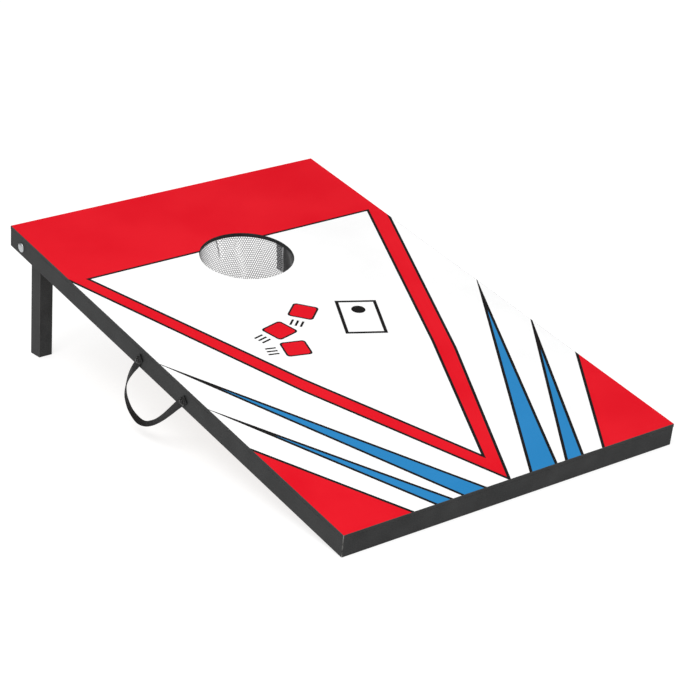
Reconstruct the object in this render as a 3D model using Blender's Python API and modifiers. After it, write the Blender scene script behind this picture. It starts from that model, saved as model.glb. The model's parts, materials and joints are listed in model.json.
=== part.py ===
"""A folding cornhole board: a printed deck on a mitred wooden frame, two folding legs, a net bag and a strap.

Everything is modelled in the board's own frame and then tilted as one: X runs across the board, Y from the low
front edge to the raised rear edge, and Z up from the underside of the rails. The root empty tilts that frame by
TILT about the front edge, so that the front edge and both feet meet the floor at Z = 0.
"""

import math

import bmesh
import bpy
from mathutils import Matrix, Vector

# Driving dimensions, in metres and radians.
BOARD_LENGTH = 0.900
BOARD_WIDTH = 0.550
TILT = math.radians(12.0)
GAP = 0.0003  # kept between pieces that touch

DECK_THICKNESS = 0.005
DECK_EDGE_BEVEL = 0.0006
HOLE_RADIUS = 0.0715
HOLE_FROM_REAR = 0.238

RAIL_HEIGHT = 0.029
RAIL_THICKNESS = 0.022
RAIL_BEVEL = 0.0006
BRACE_THICKNESS = 0.018
BRACE_FROM_HOLE = 0.212  # between the brace's middle and the hole's
BLOCK_SIDE = 0.045
BLOCK_HEIGHT = 0.022

LEG_DEPTH = 0.028  # along the board
LEG_THICKNESS = 0.022  # across the board
LEG_BEVEL = 0.0008
LEG_TOP_CLEARANCE = 0.0008  # from the leg's round top to the deck

BOLT_RADIUS = 0.003
BOLT_HEAD_RADIUS = BOLT_RADIUS * 2.6
BOLT_HEAD_HEIGHT = 0.0034
BOLT_NECK_HALF = BOLT_RADIUS + 0.0001
BOLT_NECK_LENGTH = 0.0035
BOLT_PAST_NUT = 0.004
BOLT_TIP_CHAMFER = 0.0006
BOLT_CLEARANCE = 0.0004
SPACER_THICKNESS = 0.0020
SPACER_RADIUS = BOLT_RADIUS * 3
WASHER_THICKNESS = 0.0014
WASHER_RADIUS = BOLT_RADIUS + 0.0050
NUT_HEIGHT = 0.0070
NUT_FOOT_HEIGHT = 0.0010  # the straight part at the foot of its hub
NUT_BASE_RADIUS = BOLT_RADIUS + 0.0025
NUT_TOP_RADIUS = BOLT_RADIUS + 0.0014
NUT_WING_REACH = BOLT_RADIUS * 4  # from the nut's axis to a wing's tip
NUT_WING_RISE = 0.0060  # above the hub
NUT_WING_ROUND = 0.0030  # the radius of a wing's tip
NUT_WING_THICKNESS = 0.0018

STRAP_WIDTH = 0.012
STRAP_THICKNESS = 0.0016
STRAP_SCREW_HEIGHT = 0.0118
STRAP_FRONT_SCREW = BOARD_LENGTH * 0.427
STRAP_REAR_SCREW = STRAP_FRONT_SCREW + 0.120
STRAP_DROP = 0.092  # from the screws to the loop's lowest stretch
STRAP_SCREW_RADIUS = 0.0020
STRAP_SCREW_LENGTH = 0.014
STRAP_SCREW_TIP = 0.004
STRAP_HEAD_RADIUS = 0.0042
STRAP_HEAD_HEIGHT = 0.0024
CUP_RADIUS = 0.0062
CUP_HEIGHT = 0.0012
CUP_FLARE = 0.0012  # how much wider the cup is at the strap than at its rim

HEM_WIDTH = 0.014
HEM_THICKNESS = 0.0012
NET_WALL = 0.0014
NET_DEPTH = 0.095
NET_MARGIN = 0.0035  # from the hole's edge out to the net's mouth
STAPLE_COUNT = 8
STAPLE_CROWN = 0.010
STAPLE_LEG = 0.0036
STAPLE_WIRE = 0.0005
STAPLE_HOLE = 0.0009
STAPLE_RING = HOLE_RADIUS + HEM_WIDTH * 0.6
CUTTER_REACH = 0.010  # how far a cutter runs past the piece that it cuts

# Places that follow from them.
DECK_BOTTOM = RAIL_HEIGHT + GAP
DECK_TOP = DECK_BOTTOM + DECK_THICKNESS
HALF_WIDTH = BOARD_WIDTH / 2
HOLE_CENTRE = BOARD_LENGTH - HOLE_FROM_REAR
PIVOT_Y = BOARD_LENGTH - RAIL_THICKNESS - GAP - LEG_DEPTH / 2
PIVOT_Z = DECK_BOTTOM - LEG_TOP_CLEARANCE - LEG_DEPTH / 2
LEG_INNER = SPACER_THICKNESS + 2 * GAP  # from the rail's inner face to the leg's outer face

for old in list(bpy.data.objects):
    bpy.data.objects.remove(old)


def new_collection(name):
    collection = bpy.data.collections.new(name)
    bpy.context.scene.collection.children.link(collection)
    return collection


PARTS = new_collection("cornhole_board")
CUTTERS = new_collection("cutters")


def add_empty(name, location, parent=None):
    empty = bpy.data.objects.new(name, None)
    empty.location = location
    empty.parent = parent
    PARTS.objects.link(empty)
    return empty


def add_material(name, colour, roughness, metallic=0.0):
    material = bpy.data.materials.new(name)
    material.use_nodes = True
    shader = material.node_tree.nodes["Principled BSDF"]
    shader.inputs["Base Color"].default_value = (*colour, 1.0)
    shader.inputs["Roughness"].default_value = roughness
    shader.inputs["Metallic"].default_value = metallic
    return material


ROOT = add_empty("board_frame", (0, 0, 0))
PRINT = add_material("printed_deck", (0.80, 0.02, 0.03), 0.35)
BLACK_WOOD = add_material("black_painted_wood", (0.045, 0.045, 0.045), 0.6)
BARE_WOOD = add_material("bare_pine", (0.55, 0.38, 0.20), 0.7)
ZINC = add_material("zinc_plated_steel", (0.62, 0.64, 0.65), 0.3, 1.0)
NYLON = add_material("black_nylon", (0.02, 0.02, 0.02), 0.5)
WEBBING = add_material("black_webbing", (0.015, 0.015, 0.015), 0.85)
NETTING = add_material("grey_netting", (0.75, 0.75, 0.77), 0.8)


def add_object(name, shape, material, location=(0, 0, 0), parent=ROOT):
    """Makes an object of a bmesh or a mesh, in the board's frame or its parent's."""
    if isinstance(shape, bmesh.types.BMesh):
        mesh = bpy.data.meshes.new(name)
        shape.to_mesh(mesh)
        shape.free()
    else:
        mesh = shape
        mesh.name = name
    item = bpy.data.objects.new(name, mesh)
    mesh.materials.append(material)
    item.location = location
    item.parent = parent
    PARTS.objects.link(item)
    return item


def box_shape(low, high):
    shape = bmesh.new()
    bmesh.ops.create_cube(shape, size=1.0)
    low, high = Vector(low), Vector(high)
    bmesh.ops.scale(shape, vec=high - low, verts=shape.verts)
    bmesh.ops.translate(shape, vec=(low + high) / 2, verts=shape.verts)
    return shape


def rod_shape(radius, start, end, segments=24):
    """A cylinder between two points."""
    start, end = Vector(start), Vector(end)
    run = end - start
    turn = run.to_track_quat("Z", "Y").to_matrix().to_4x4()
    shape = bmesh.new()
    bmesh.ops.create_cone(
        shape, cap_ends=True, segments=segments, radius1=radius, radius2=radius, depth=run.length
    )
    bmesh.ops.transform(shape, matrix=Matrix.Translation((start + end) / 2) @ turn, verts=shape.verts)
    return shape


def plate_mesh(name, outline, thickness):
    """A flat outline in XY, given its thickness about Z = 0."""
    curve = bpy.data.curves.new(name + "_outline", "CURVE")
    curve.dimensions = "2D"
    curve.fill_mode = "BOTH"
    curve.extrude = thickness / 2
    spline = curve.splines.new("POLY")
    spline.points.add(len(outline) - 1)
    for point, (x, y) in zip(spline.points, outline):
        point.co = (x, y, 0, 1)
    spline.use_cyclic_u = True
    return curve_to_mesh(curve)


def curve_to_mesh(curve):
    """The curve's mesh with its caps welded on. The curve itself is removed."""
    holder = bpy.data.objects.new(curve.name, curve)
    PARTS.objects.link(holder)
    bpy.context.view_layer.update()
    graph = bpy.context.evaluated_depsgraph_get()
    mesh = bpy.data.meshes.new_from_object(holder.evaluated_get(graph))
    bpy.data.objects.remove(holder)
    bpy.data.curves.remove(curve)
    shape = bmesh.new()
    shape.from_mesh(mesh)
    bmesh.ops.remove_doubles(shape, verts=shape.verts, dist=1e-6)
    bmesh.ops.recalc_face_normals(shape, faces=shape.faces)
    shape.to_mesh(mesh)
    shape.free()
    mesh.materials.clear()
    return mesh


def turned(name, profile, material, location, parent=ROOT, segments=24, axis_turn=None):
    """A turned piece: (radius, height) points from the top down its outer side, closed by the Screw modifier."""
    mesh = bpy.data.meshes.new(name)
    points = [(radius, 0, height) for radius, height in profile]
    last = len(points) - 1
    edges = [(i, i + 1) for i in range(last)]
    if profile[0][0] > 0:
        edges.append((last, 0))
    mesh.from_pydata(points, edges, [])
    item = add_object(name, mesh, material, location, parent)
    screw = item.modifiers.new("turn", "SCREW")
    screw.steps = segments
    screw.render_steps = segments
    screw.use_merge_vertices = True
    screw.merge_threshold = 0.00001
    screw.use_smooth_shade = False
    if axis_turn is not None:
        item.rotation_euler = axis_turn
    return item


def join_shapes(shapes):
    """Several closed shapes in one bmesh, for one cutter."""
    joined = bmesh.new()
    for shape in shapes:
        mesh = bpy.data.meshes.new("joined")
        shape.to_mesh(mesh)
        shape.free()
        joined.from_mesh(mesh)
        bpy.data.meshes.remove(mesh)
    return joined


def add_boolean(item, name, shape, operation="DIFFERENCE"):
    """Cuts or adds a shape given in the board's frame."""
    mesh = bpy.data.meshes.new(name)
    shape.to_mesh(mesh)
    shape.free()
    cutter = bpy.data.objects.new(name, mesh)
    cutter.parent = ROOT
    cutter.hide_render = True
    cutter.display_type = "WIRE"
    CUTTERS.objects.link(cutter)
    modifier = item.modifiers.new(name, "BOOLEAN")
    modifier.operation = operation
    modifier.solver = "EXACT"
    modifier.object = cutter
    return cutter


def add_bevel(item, width, segments=1):
    modifier = item.modifiers.new("edges", "BEVEL")
    modifier.width = width
    modifier.segments = segments
    modifier.limit_method = "ANGLE"
    modifier.angle_limit = math.radians(30)
    return modifier


def staple_spots():
    """The middle of each staple's crown about the hole, and the direction that it runs in."""
    for number in range(STAPLE_COUNT):
        angle = 2 * math.pi * (number + 0.5) / STAPLE_COUNT
        outward = Vector((math.cos(angle), math.sin(angle), 0))
        along = Vector((-outward.y, outward.x, 0))
        yield Vector((0, HOLE_CENTRE, 0)) + outward * STAPLE_RING, along


def staple_holes(bottom, top):
    """Rods where the staples' legs go, from one height to another."""
    rods = []
    for spot, along in staple_spots():
        for side in (-1, 1):
            foot = spot + along * side * STAPLE_CROWN / 2
            rods.append(
                rod_shape(STAPLE_HOLE, (foot.x, foot.y, bottom), (foot.x, foot.y, top), segments=8)
            )
    return join_shapes(rods)


def make_deck():
    """The printed panel with its round hole, lying on the frame."""
    shape = box_shape((-HALF_WIDTH, 0, DECK_BOTTOM), (HALF_WIDTH, BOARD_LENGTH, DECK_TOP))
    deck = add_object("deck_panel", shape, PRINT)
    add_bevel(deck, DECK_EDGE_BEVEL)
    low, high = DECK_BOTTOM - CUTTER_REACH, DECK_TOP + CUTTER_REACH
    hole = rod_shape(HOLE_RADIUS, (0, HOLE_CENTRE, low), (0, HOLE_CENTRE, high), segments=96)
    add_boolean(deck, "hole_cutter", hole)
    add_boolean(deck, "deck_staple_cutter", staple_holes(low, DECK_BOTTOM + STAPLE_LEG))


def rail_shape(length):
    """A rail along X with mitred ends, its outer face at Y = 0 and its inner face towards +Y."""
    half = length / 2 - GAP / math.sqrt(2)
    shape = box_shape((-half, 0, 0), (half, RAIL_THICKNESS, RAIL_HEIGHT))
    for vertex in shape.verts:
        if vertex.co.y > RAIL_THICKNESS / 2:
            vertex.co.x -= math.copysign(RAIL_THICKNESS, vertex.co.x)
    return shape


def place_rail(name, length, middle, turn):
    shape = rail_shape(length)
    place = Matrix.Translation(middle) @ Matrix.Rotation(turn, 4, "Z")
    bmesh.ops.transform(shape, matrix=place, verts=shape.verts)
    rail = add_object(name, shape, BLACK_WOOD)
    add_bevel(rail, RAIL_BEVEL)
    return rail


def pivot_bore(side):
    """The bolt's round hole and the square seat of its neck, through a side rail."""
    outer = side * HALF_WIDTH
    hole = rod_shape(
        BOLT_RADIUS + BOLT_CLEARANCE,
        (outer + side * CUTTER_REACH, PIVOT_Y, PIVOT_Z),
        (outer - side * (RAIL_THICKNESS + CUTTER_REACH), PIVOT_Y, PIVOT_Z),
    )
    seat = BOLT_NECK_HALF + BOLT_CLEARANCE
    ends = sorted((outer + side * CUTTER_REACH, outer - side * (BOLT_NECK_LENGTH + GAP)))
    square = box_shape((ends[0], PIVOT_Y - seat, PIVOT_Z - seat), (ends[1], PIVOT_Y + seat, PIVOT_Z + seat))
    return hole, square


def strap_bore(y):
    """The round hole of one strap screw, through the strap and into the left rail."""
    start = (-HALF_WIDTH - CUTTER_REACH, y, STRAP_SCREW_HEIGHT)
    end = (-HALF_WIDTH + STRAP_SCREW_LENGTH + GAP, y, STRAP_SCREW_HEIGHT)
    return rod_shape(STRAP_SCREW_RADIUS + GAP, start, end, segments=16)


def make_rails():
    middle = BOARD_LENGTH / 2
    place_rail("front_rail", BOARD_WIDTH, (0, 0, 0), 0)
    place_rail("rear_rail", BOARD_WIDTH, (0, BOARD_LENGTH, 0), math.pi)
    left = place_rail("left_rail", BOARD_LENGTH, (-HALF_WIDTH, middle, 0), -math.pi / 2)
    right = place_rail("right_rail", BOARD_LENGTH, (HALF_WIDTH, middle, 0), math.pi / 2)
    for rail, side, name in ((left, -1, "left"), (right, 1, "right")):
        hole, square = pivot_bore(side)
        add_boolean(rail, name + "_pivot_cutter", hole)
        add_boolean(rail, name + "_neck_cutter", square)
    bores = [strap_bore(y) for y in (STRAP_FRONT_SCREW, STRAP_REAR_SCREW)]
    add_boolean(left, "strap_screw_cutter", join_shapes(bores))


def make_brace():
    """The cross brace under the middle of the deck."""
    reach = HALF_WIDTH - RAIL_THICKNESS - GAP
    middle = HOLE_CENTRE - BRACE_FROM_HOLE
    low = (-reach, middle - BRACE_THICKNESS / 2, 0)
    high = (reach, middle + BRACE_THICKNESS / 2, RAIL_HEIGHT)
    add_bevel(add_object("cross_brace", box_shape(low, high), BARE_WOOD), RAIL_BEVEL)


def make_corner_blocks():
    """Glued triangular blocks in the two front corners."""
    for side, name in ((-1, "left"), (1, "right")):
        corner_x = side * (HALF_WIDTH - RAIL_THICKNESS - GAP)
        corner_y = RAIL_THICKNESS + GAP
        outline = [
            (corner_x, corner_y),
            (corner_x - side * BLOCK_SIDE, corner_y),
            (corner_x, corner_y + BLOCK_SIDE),
        ]
        mesh = plate_mesh(name + "_block", outline, BLOCK_HEIGHT)
        height = RAIL_HEIGHT - BLOCK_HEIGHT / 2
        add_object("front_" + name + "_block", mesh, BARE_WOOD, (0, 0, height))


def leg_outline():
    """The leg seen from the side, about its pivot: a round top and a foot cut to lie on the floor."""
    radius = LEG_DEPTH / 2
    points = [
        (radius * math.cos(math.pi * step / 16), radius * math.sin(math.pi * step / 16))
        for step in range(17)
    ]
    for y in (-radius, radius):
        points.append((y, -PIVOT_Z - (PIVOT_Y + y) * math.tan(TILT)))
    return points


def make_leg(side, name):
    """One leg, with its origin on the pivot."""
    outer = side * (HALF_WIDTH - RAIL_THICKNESS - LEG_INNER)
    middle = outer - side * LEG_THICKNESS / 2
    pivot = add_empty(name + "_leg_pivot", (middle, PIVOT_Y, PIVOT_Z), ROOT)
    mesh = plate_mesh(name + "_leg", leg_outline(), LEG_THICKNESS)
    stand_up = Matrix.Rotation(math.pi / 2, 4, "Y") @ Matrix.Rotation(math.pi / 2, 4, "Z")
    mesh.transform(stand_up)
    leg = add_object(name + "_leg", mesh, BLACK_WOOD, parent=pivot)
    add_bevel(leg, LEG_BEVEL)
    bore = rod_shape(
        BOLT_RADIUS + BOLT_CLEARANCE,
        (middle - LEG_THICKNESS, PIVOT_Y, PIVOT_Z),
        (middle + LEG_THICKNESS, PIVOT_Y, PIVOT_Z),
    )
    add_boolean(leg, name + "_leg_bore_cutter", bore)


def make_pivot_hardware(side, name):
    """The carriage bolt, its two washers and the wing nut, one behind the other along the bolt."""
    outer = side * HALF_WIDTH
    inward = Matrix.Rotation(side * -math.pi / 2, 4, "Y")
    turn = inward.to_euler()
    reach = RAIL_THICKNESS
    spacer_at = reach + GAP
    leg_at = reach + LEG_INNER
    washer_at = leg_at + LEG_THICKNESS + GAP
    nut_at = washer_at + WASHER_THICKNESS + GAP
    bolt_end = nut_at + NUT_HEIGHT + BOLT_PAST_NUT

    def place(distance):
        return (outer - side * distance, PIVOT_Y, PIVOT_Z)

    dome = [
        (BOLT_HEAD_RADIUS * math.sin(angle), BOLT_HEAD_HEIGHT * math.cos(angle))
        for angle in (math.pi / 2 * step / 5 for step in range(6))
    ]
    profile = [(radius, -GAP - height) for radius, height in dome]
    profile += [(BOLT_RADIUS, -GAP), (BOLT_RADIUS, bolt_end - BOLT_TIP_CHAMFER)]
    profile += [(BOLT_RADIUS - BOLT_TIP_CHAMFER, bolt_end), (0, bolt_end)]
    bolt = turned(name + "_pivot_bolt", profile[::-1], ZINC, place(0), axis_turn=turn)
    neck = box_shape(
        (-BOLT_NECK_HALF, -BOLT_NECK_HALF, -GAP * 2), (BOLT_NECK_HALF, BOLT_NECK_HALF, BOLT_NECK_LENGTH)
    )
    bmesh.ops.transform(neck, matrix=Matrix.Translation(place(0)) @ inward, verts=neck.verts)
    add_boolean(bolt, name + "_neck_union", neck, "UNION")

    bore = BOLT_RADIUS + BOLT_CLEARANCE
    spacer = ring_profile(bore, SPACER_RADIUS, SPACER_THICKNESS)
    turned(name + "_leg_spacer", spacer, NYLON, place(spacer_at), axis_turn=turn)
    washer = ring_profile(bore, WASHER_RADIUS, WASHER_THICKNESS)
    turned(name + "_leg_washer", washer, ZINC, place(washer_at), axis_turn=turn)

    hub = [(bore, NUT_HEIGHT), (NUT_TOP_RADIUS, NUT_HEIGHT), (NUT_BASE_RADIUS, NUT_FOOT_HEIGHT)]
    hub += [(NUT_BASE_RADIUS, 0), (bore, 0)]
    nut = turned(name + "_wing_nut", hub, ZINC, place(nut_at), axis_turn=turn)
    wings = wing_shapes()
    bmesh.ops.transform(wings, matrix=Matrix.Translation(place(nut_at)) @ inward, verts=wings.verts)
    add_boolean(nut, name + "_wing_union", wings, "UNION")


def ring_profile(inner, outer, thickness):
    """A washer's section, from the top down its outer side."""
    return [(inner, thickness), (outer, thickness), (outer, 0), (inner, 0)]


def wing_shapes():
    """The two wings of a wing nut, leaning up and out of the hub, with round ends."""
    root = BOLT_RADIUS + 0.0008  # inside the hub's wall, clear of its bore
    heel = NUT_FOOT_HEIGHT + 0.0002
    neck = NUT_HEIGHT - 0.0012
    centre = Vector((NUT_WING_REACH - NUT_WING_ROUND, NUT_HEIGHT + NUT_WING_RISE - NUT_WING_ROUND))
    outline = [(root, heel), (NUT_BASE_RADIUS, heel)]
    for step in range(8):
        angle = math.radians(-50 + 30 * step)
        outline.append(centre + Vector((math.cos(angle), math.sin(angle))) * NUT_WING_ROUND)
    outline += [(root + 0.0004, neck + 0.0004), (root, neck)]
    wings = []
    for side in (-1, 1):
        mesh = plate_mesh("wing", [(side * x, y) for x, y in outline], NUT_WING_THICKNESS)
        mesh.transform(Matrix.Rotation(math.pi / 2, 4, "X"))
        wing = bmesh.new()
        wing.from_mesh(mesh)
        bpy.data.meshes.remove(mesh)
        wings.append(wing)
    return join_shapes(wings)


# The strap's route: share of the way from the front screw to the rear one, share of the drop, how far its
# middle stands off the rail's face, and how far it has twisted about its own line, in degrees.
STRAP_ROUTE = [
    (-0.055, -0.075, 0.0011, 0),
    (0.000, 0.000, 0.0011, 0),
    (0.085, 0.118, 0.0018, 7),
    (0.250, 0.370, 0.0030, 22),
    (0.383, 0.563, 0.0036, 34),
    (0.540, 0.761, 0.0042, 48),
    (0.690, 0.905, 0.0046, 62),
    (0.830, 0.991, 0.0050, 84),
    (0.960, 1.000, 0.0052, 104),
    (1.103, 0.937, 0.0056, 124),
    (1.195, 0.801, 0.0058, 136),
    (1.215, 0.670, 0.0058, 141),
    (1.191, 0.518, 0.0058, 146),
    (1.146, 0.368, 0.0056, 152),
    (1.084, 0.213, 0.0042, 163),
    (1.030, 0.084, 0.0016, 177),
    (1.000, 0.000, 0.0011, 180),
    (0.950, -0.080, 0.0011, 180),
]
STRAP_STEPS = 3  # stations between two points of the route
STRAP_FOLD = 0.0058  # how far its fold line stands off the rail's face
STRAP_CUT_CLEARANCE = 0.0006


def smooth_route(points, steps):
    """A Catmull-Rom curve through the points, with a few stations to each stretch."""
    padded = [points[0]] + list(points) + [points[-1]]
    stations = []
    for before, start, end, after in zip(padded, padded[1:], padded[2:], padded[3:]):
        for step in range(steps):
            t = step / steps
            stations.append(
                [
                    0.5 * (2 * b + (c - a) * t + (2 * a - 5 * b + 4 * c - d) * t**2)
                    + 0.5 * (3 * b - a - 3 * c + d) * t**3
                    for a, b, c, d in zip(before, start, end, after)
                ]
            )
    return stations + [list(points[-1])]


def strap_shape():
    """The whole strap as one twisted band: its end section, extruded from station to station."""
    span = STRAP_REAR_SCREW - STRAP_FRONT_SCREW
    stations = [
        (
            Vector(
                (-HALF_WIDTH - off, STRAP_FRONT_SCREW + along * span, STRAP_SCREW_HEIGHT - drop * STRAP_DROP)
            ),
            math.radians(twist),
        )
        for along, drop, off, twist in smooth_route(STRAP_ROUTE, STRAP_STEPS)
    ]
    sections = []
    for number, (middle, twist) in enumerate(stations):
        before = stations[max(number - 1, 0)][0]
        after = stations[min(number + 1, len(stations) - 1)][0]
        run = (after - before).normalized()
        flat = Vector((1, 0, 0)).cross(run).normalized()
        across = Matrix.Rotation(twist, 3, run) @ flat
        out = run.cross(across)
        sections.append(
            [
                middle + across * a * STRAP_WIDTH / 2 + out * b * STRAP_THICKNESS / 2
                for a, b in ((-1, -1), (1, -1), (1, 1), (-1, 1))
            ]
        )
    shape = bmesh.new()
    ring = [shape.verts.new(corner) for corner in sections[0]]
    shape.faces.new(ring)
    for section in sections[1:]:
        fresh = [shape.verts.new(corner) for corner in section]
        for side in range(4):
            other = (side + 1) % 4
            shape.faces.new((ring[side], ring[other], fresh[other], fresh[side]))
        ring = fresh
    shape.faces.new(ring[::-1])
    bmesh.ops.recalc_face_normals(shape, faces=shape.faces)
    return shape


def keep_side(shape, point, normal):
    """Cuts a closed shape with a plane, keeps what lies on the normal's side, and closes the cut."""
    everything = shape.verts[:] + shape.edges[:] + shape.faces[:]
    cut = bmesh.ops.bisect_plane(
        shape, geom=everything, plane_co=point, plane_no=normal, clear_inner=True
    )
    edges = [part for part in cut["geom_cut"] if isinstance(part, bmesh.types.BMEdge)]
    bmesh.ops.holes_fill(shape, edges=edges, sides=0)
    bmesh.ops.recalc_face_normals(shape, faces=shape.faces)


def make_strap():
    """The webbing strap: two ends screwed to the left rail, and the loop that swings out about its fold."""
    fold = (-HALF_WIDTH - STRAP_FOLD, (STRAP_FRONT_SCREW + STRAP_REAR_SCREW) / 2, 0)
    half_gap = STRAP_CUT_CLEARANCE / 2
    loop = strap_shape()
    keep_side(loop, (0, 0, -half_gap), (0, 0, -1))
    bmesh.ops.translate(loop, vec=-Vector(fold), verts=loop.verts)
    hinge = add_empty("strap_fold", fold, ROOT)
    add_object("strap_loop", loop, WEBBING, parent=hinge)

    middle = (STRAP_FRONT_SCREW + STRAP_REAR_SCREW) / 2
    for y, name, away in ((STRAP_FRONT_SCREW, "front", -1), (STRAP_REAR_SCREW, "rear", 1)):
        end = strap_shape()
        keep_side(end, (0, 0, half_gap), (0, 0, 1))
        keep_side(end, (0, middle, 0), (0, away, 0))
        tab = add_object("strap_" + name + "_end", end, WEBBING)
        add_boolean(tab, name + "_strap_cutter", strap_bore(y))
        make_strap_fixing(y, name)


def make_strap_fixing(y, name):
    """A round-head screw through a cup washer, which hold one end of the strap against the rail."""
    inward = Matrix.Rotation(math.pi / 2, 4, "Y").to_euler()
    strap_face = STRAP_ROUTE[1][2] + STRAP_THICKNESS / 2
    cup_at = strap_face + GAP + CUP_HEIGHT
    place = (-HALF_WIDTH - cup_at, y, STRAP_SCREW_HEIGHT)
    bore = STRAP_SCREW_RADIUS + GAP
    cup = [(bore, CUP_HEIGHT), (CUP_RADIUS, CUP_HEIGHT), (CUP_RADIUS - CUP_FLARE, 0), (bore, 0)]
    turned("strap_" + name + "_washer", cup, ZINC, place, axis_turn=inward, segments=20)
    head = [
        (STRAP_HEAD_RADIUS * math.sin(angle), -GAP - STRAP_HEAD_HEIGHT * math.cos(angle))
        for angle in (math.pi / 2 * step / 4 for step in range(5))
    ]
    tip = cup_at + STRAP_SCREW_LENGTH
    shank = [(STRAP_SCREW_RADIUS, -GAP), (STRAP_SCREW_RADIUS, tip - STRAP_SCREW_TIP), (0, tip)]
    profile = (head + shank)[::-1]
    turned("strap_" + name + "_screw", profile, ZINC, place, axis_turn=inward, segments=16)


def make_hem():
    """The black tape that binds the net's mouth, lying on the underside of the deck."""
    height = DECK_BOTTOM - GAP - HEM_THICKNESS
    profile = ring_profile(HOLE_RADIUS + GAP, HOLE_RADIUS + HEM_WIDTH, HEM_THICKNESS)
    hem = turned("net_hem", profile, WEBBING, (0, HOLE_CENTRE, height), segments=64)
    holes = staple_holes(height - CUTTER_REACH, height + CUTTER_REACH)
    add_boolean(hem, "hem_staple_cutter", holes)


def make_net_bag():
    """The net that catches the bags: a ring drawn down into a sagging cup that hangs plumb under the hole."""
    mouth = HOLE_RADIUS + NET_MARGIN
    sections = [
        (0.00, 1.00),
        (0.16, 0.99),
        (0.42, 0.96),
        (0.66, 0.87),
        (0.83, 0.70),
        (0.94, 0.45),
        (1.00, 0.16),
    ]
    top = DECK_BOTTOM - HEM_THICKNESS - 2 * GAP
    shape = bmesh.new()
    made = bmesh.ops.create_circle(shape, cap_ends=False, segments=40, radius=mouth)
    bmesh.ops.translate(shape, vec=(0, HOLE_CENTRE, top), verts=made["verts"])
    ring = shape.edges[:]
    middle, size = Vector((0, HOLE_CENTRE, top)), 1.0
    for depth, share in sections[1:]:
        made = bmesh.ops.extrude_edge_only(shape, edges=ring)
        verts = [part for part in made["geom"] if isinstance(part, bmesh.types.BMVert)]
        ring = [part for part in made["geom"] if isinstance(part, bmesh.types.BMEdge)]
        ring = [edge for edge in ring if all(vertex in verts for vertex in edge.verts)]
        drop = depth * NET_DEPTH
        fresh = Vector((0, HOLE_CENTRE - drop * math.sin(TILT), top - drop * math.cos(TILT)))
        bmesh.ops.translate(shape, vec=-middle, verts=verts)
        bmesh.ops.scale(shape, vec=(share / size,) * 3, verts=verts)
        bmesh.ops.translate(shape, vec=fresh, verts=verts)
        middle, size = fresh, share
    bmesh.ops.contextual_create(shape, geom=ring)
    bmesh.ops.recalc_face_normals(shape, faces=shape.faces)
    bag = add_object("net_bag", shape, NETTING)
    wall = bag.modifiers.new("wall", "SOLIDIFY")
    wall.thickness = NET_WALL
    wall.offset = 1.0


def make_staples():
    """The wire staples that hold the hem to the deck, each one bent from a straight wire."""
    crown_height = DECK_BOTTOM - 2 * GAP - HEM_THICKNESS - STAPLE_WIRE
    leg_top = DECK_BOTTOM + STAPLE_LEG - 2 * GAP
    for number, (spot, along) in enumerate(staple_spots()):
        curve = bpy.data.curves.new("staple_wire", "CURVE")
        curve.dimensions = "3D"
        curve.bevel_depth = STAPLE_WIRE
        curve.bevel_resolution = 1
        curve.use_fill_caps = True
        spline = curve.splines.new("POLY")
        spline.points.add(3)
        for point, (side, height) in zip(
            spline.points, ((-1, leg_top), (-1, crown_height), (1, crown_height), (1, leg_top))
        ):
            place = spot + along * side * STAPLE_CROWN / 2
            point.co = (place.x, place.y, height, 1)
        add_object(f"hem_staple_{number + 1}", curve_to_mesh(curve), ZINC)


def shade_round(names):
    for name in names:
        mesh = bpy.data.objects[name].data
        mesh.shade_smooth()
        mesh.set_sharp_from_angle(angle=math.radians(35))


def stand_on_origin():
    """Tilts the board about its front edge, then puts the middle of its footprint on the origin."""
    ROOT.rotation_euler = (TILT, 0, 0)
    bpy.context.view_layer.update()
    graph = bpy.context.evaluated_depsgraph_get()
    corners = []
    for item in PARTS.objects:
        if item.type == "MESH":
            solid = item.evaluated_get(graph)
            corners += [solid.matrix_world @ vertex.co for vertex in solid.data.vertices]
    lows = [min(corner[axis] for corner in corners) for axis in range(3)]
    highs = [max(corner[axis] for corner in corners) for axis in range(3)]
    ROOT.location = (-(lows[0] + highs[0]) / 2, -(lows[1] + highs[1]) / 2, -lows[2])
    bpy.context.view_layer.update()


make_deck()
make_rails()
make_brace()
make_corner_blocks()
for direction, hand in ((-1, "left"), (1, "right")):
    make_leg(direction, hand)
    make_pivot_hardware(direction, hand)
make_strap()
make_hem()
make_net_bag()
make_staples()
shade_round(["left_pivot_bolt", "right_pivot_bolt", "strap_front_screw", "strap_rear_screw", "net_bag"])
stand_on_origin()
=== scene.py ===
"""The looks of a folding cornhole board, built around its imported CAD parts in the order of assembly."""

import json
import math

import bmesh
import bpy
from mathutils import Matrix, Vector, noise


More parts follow.
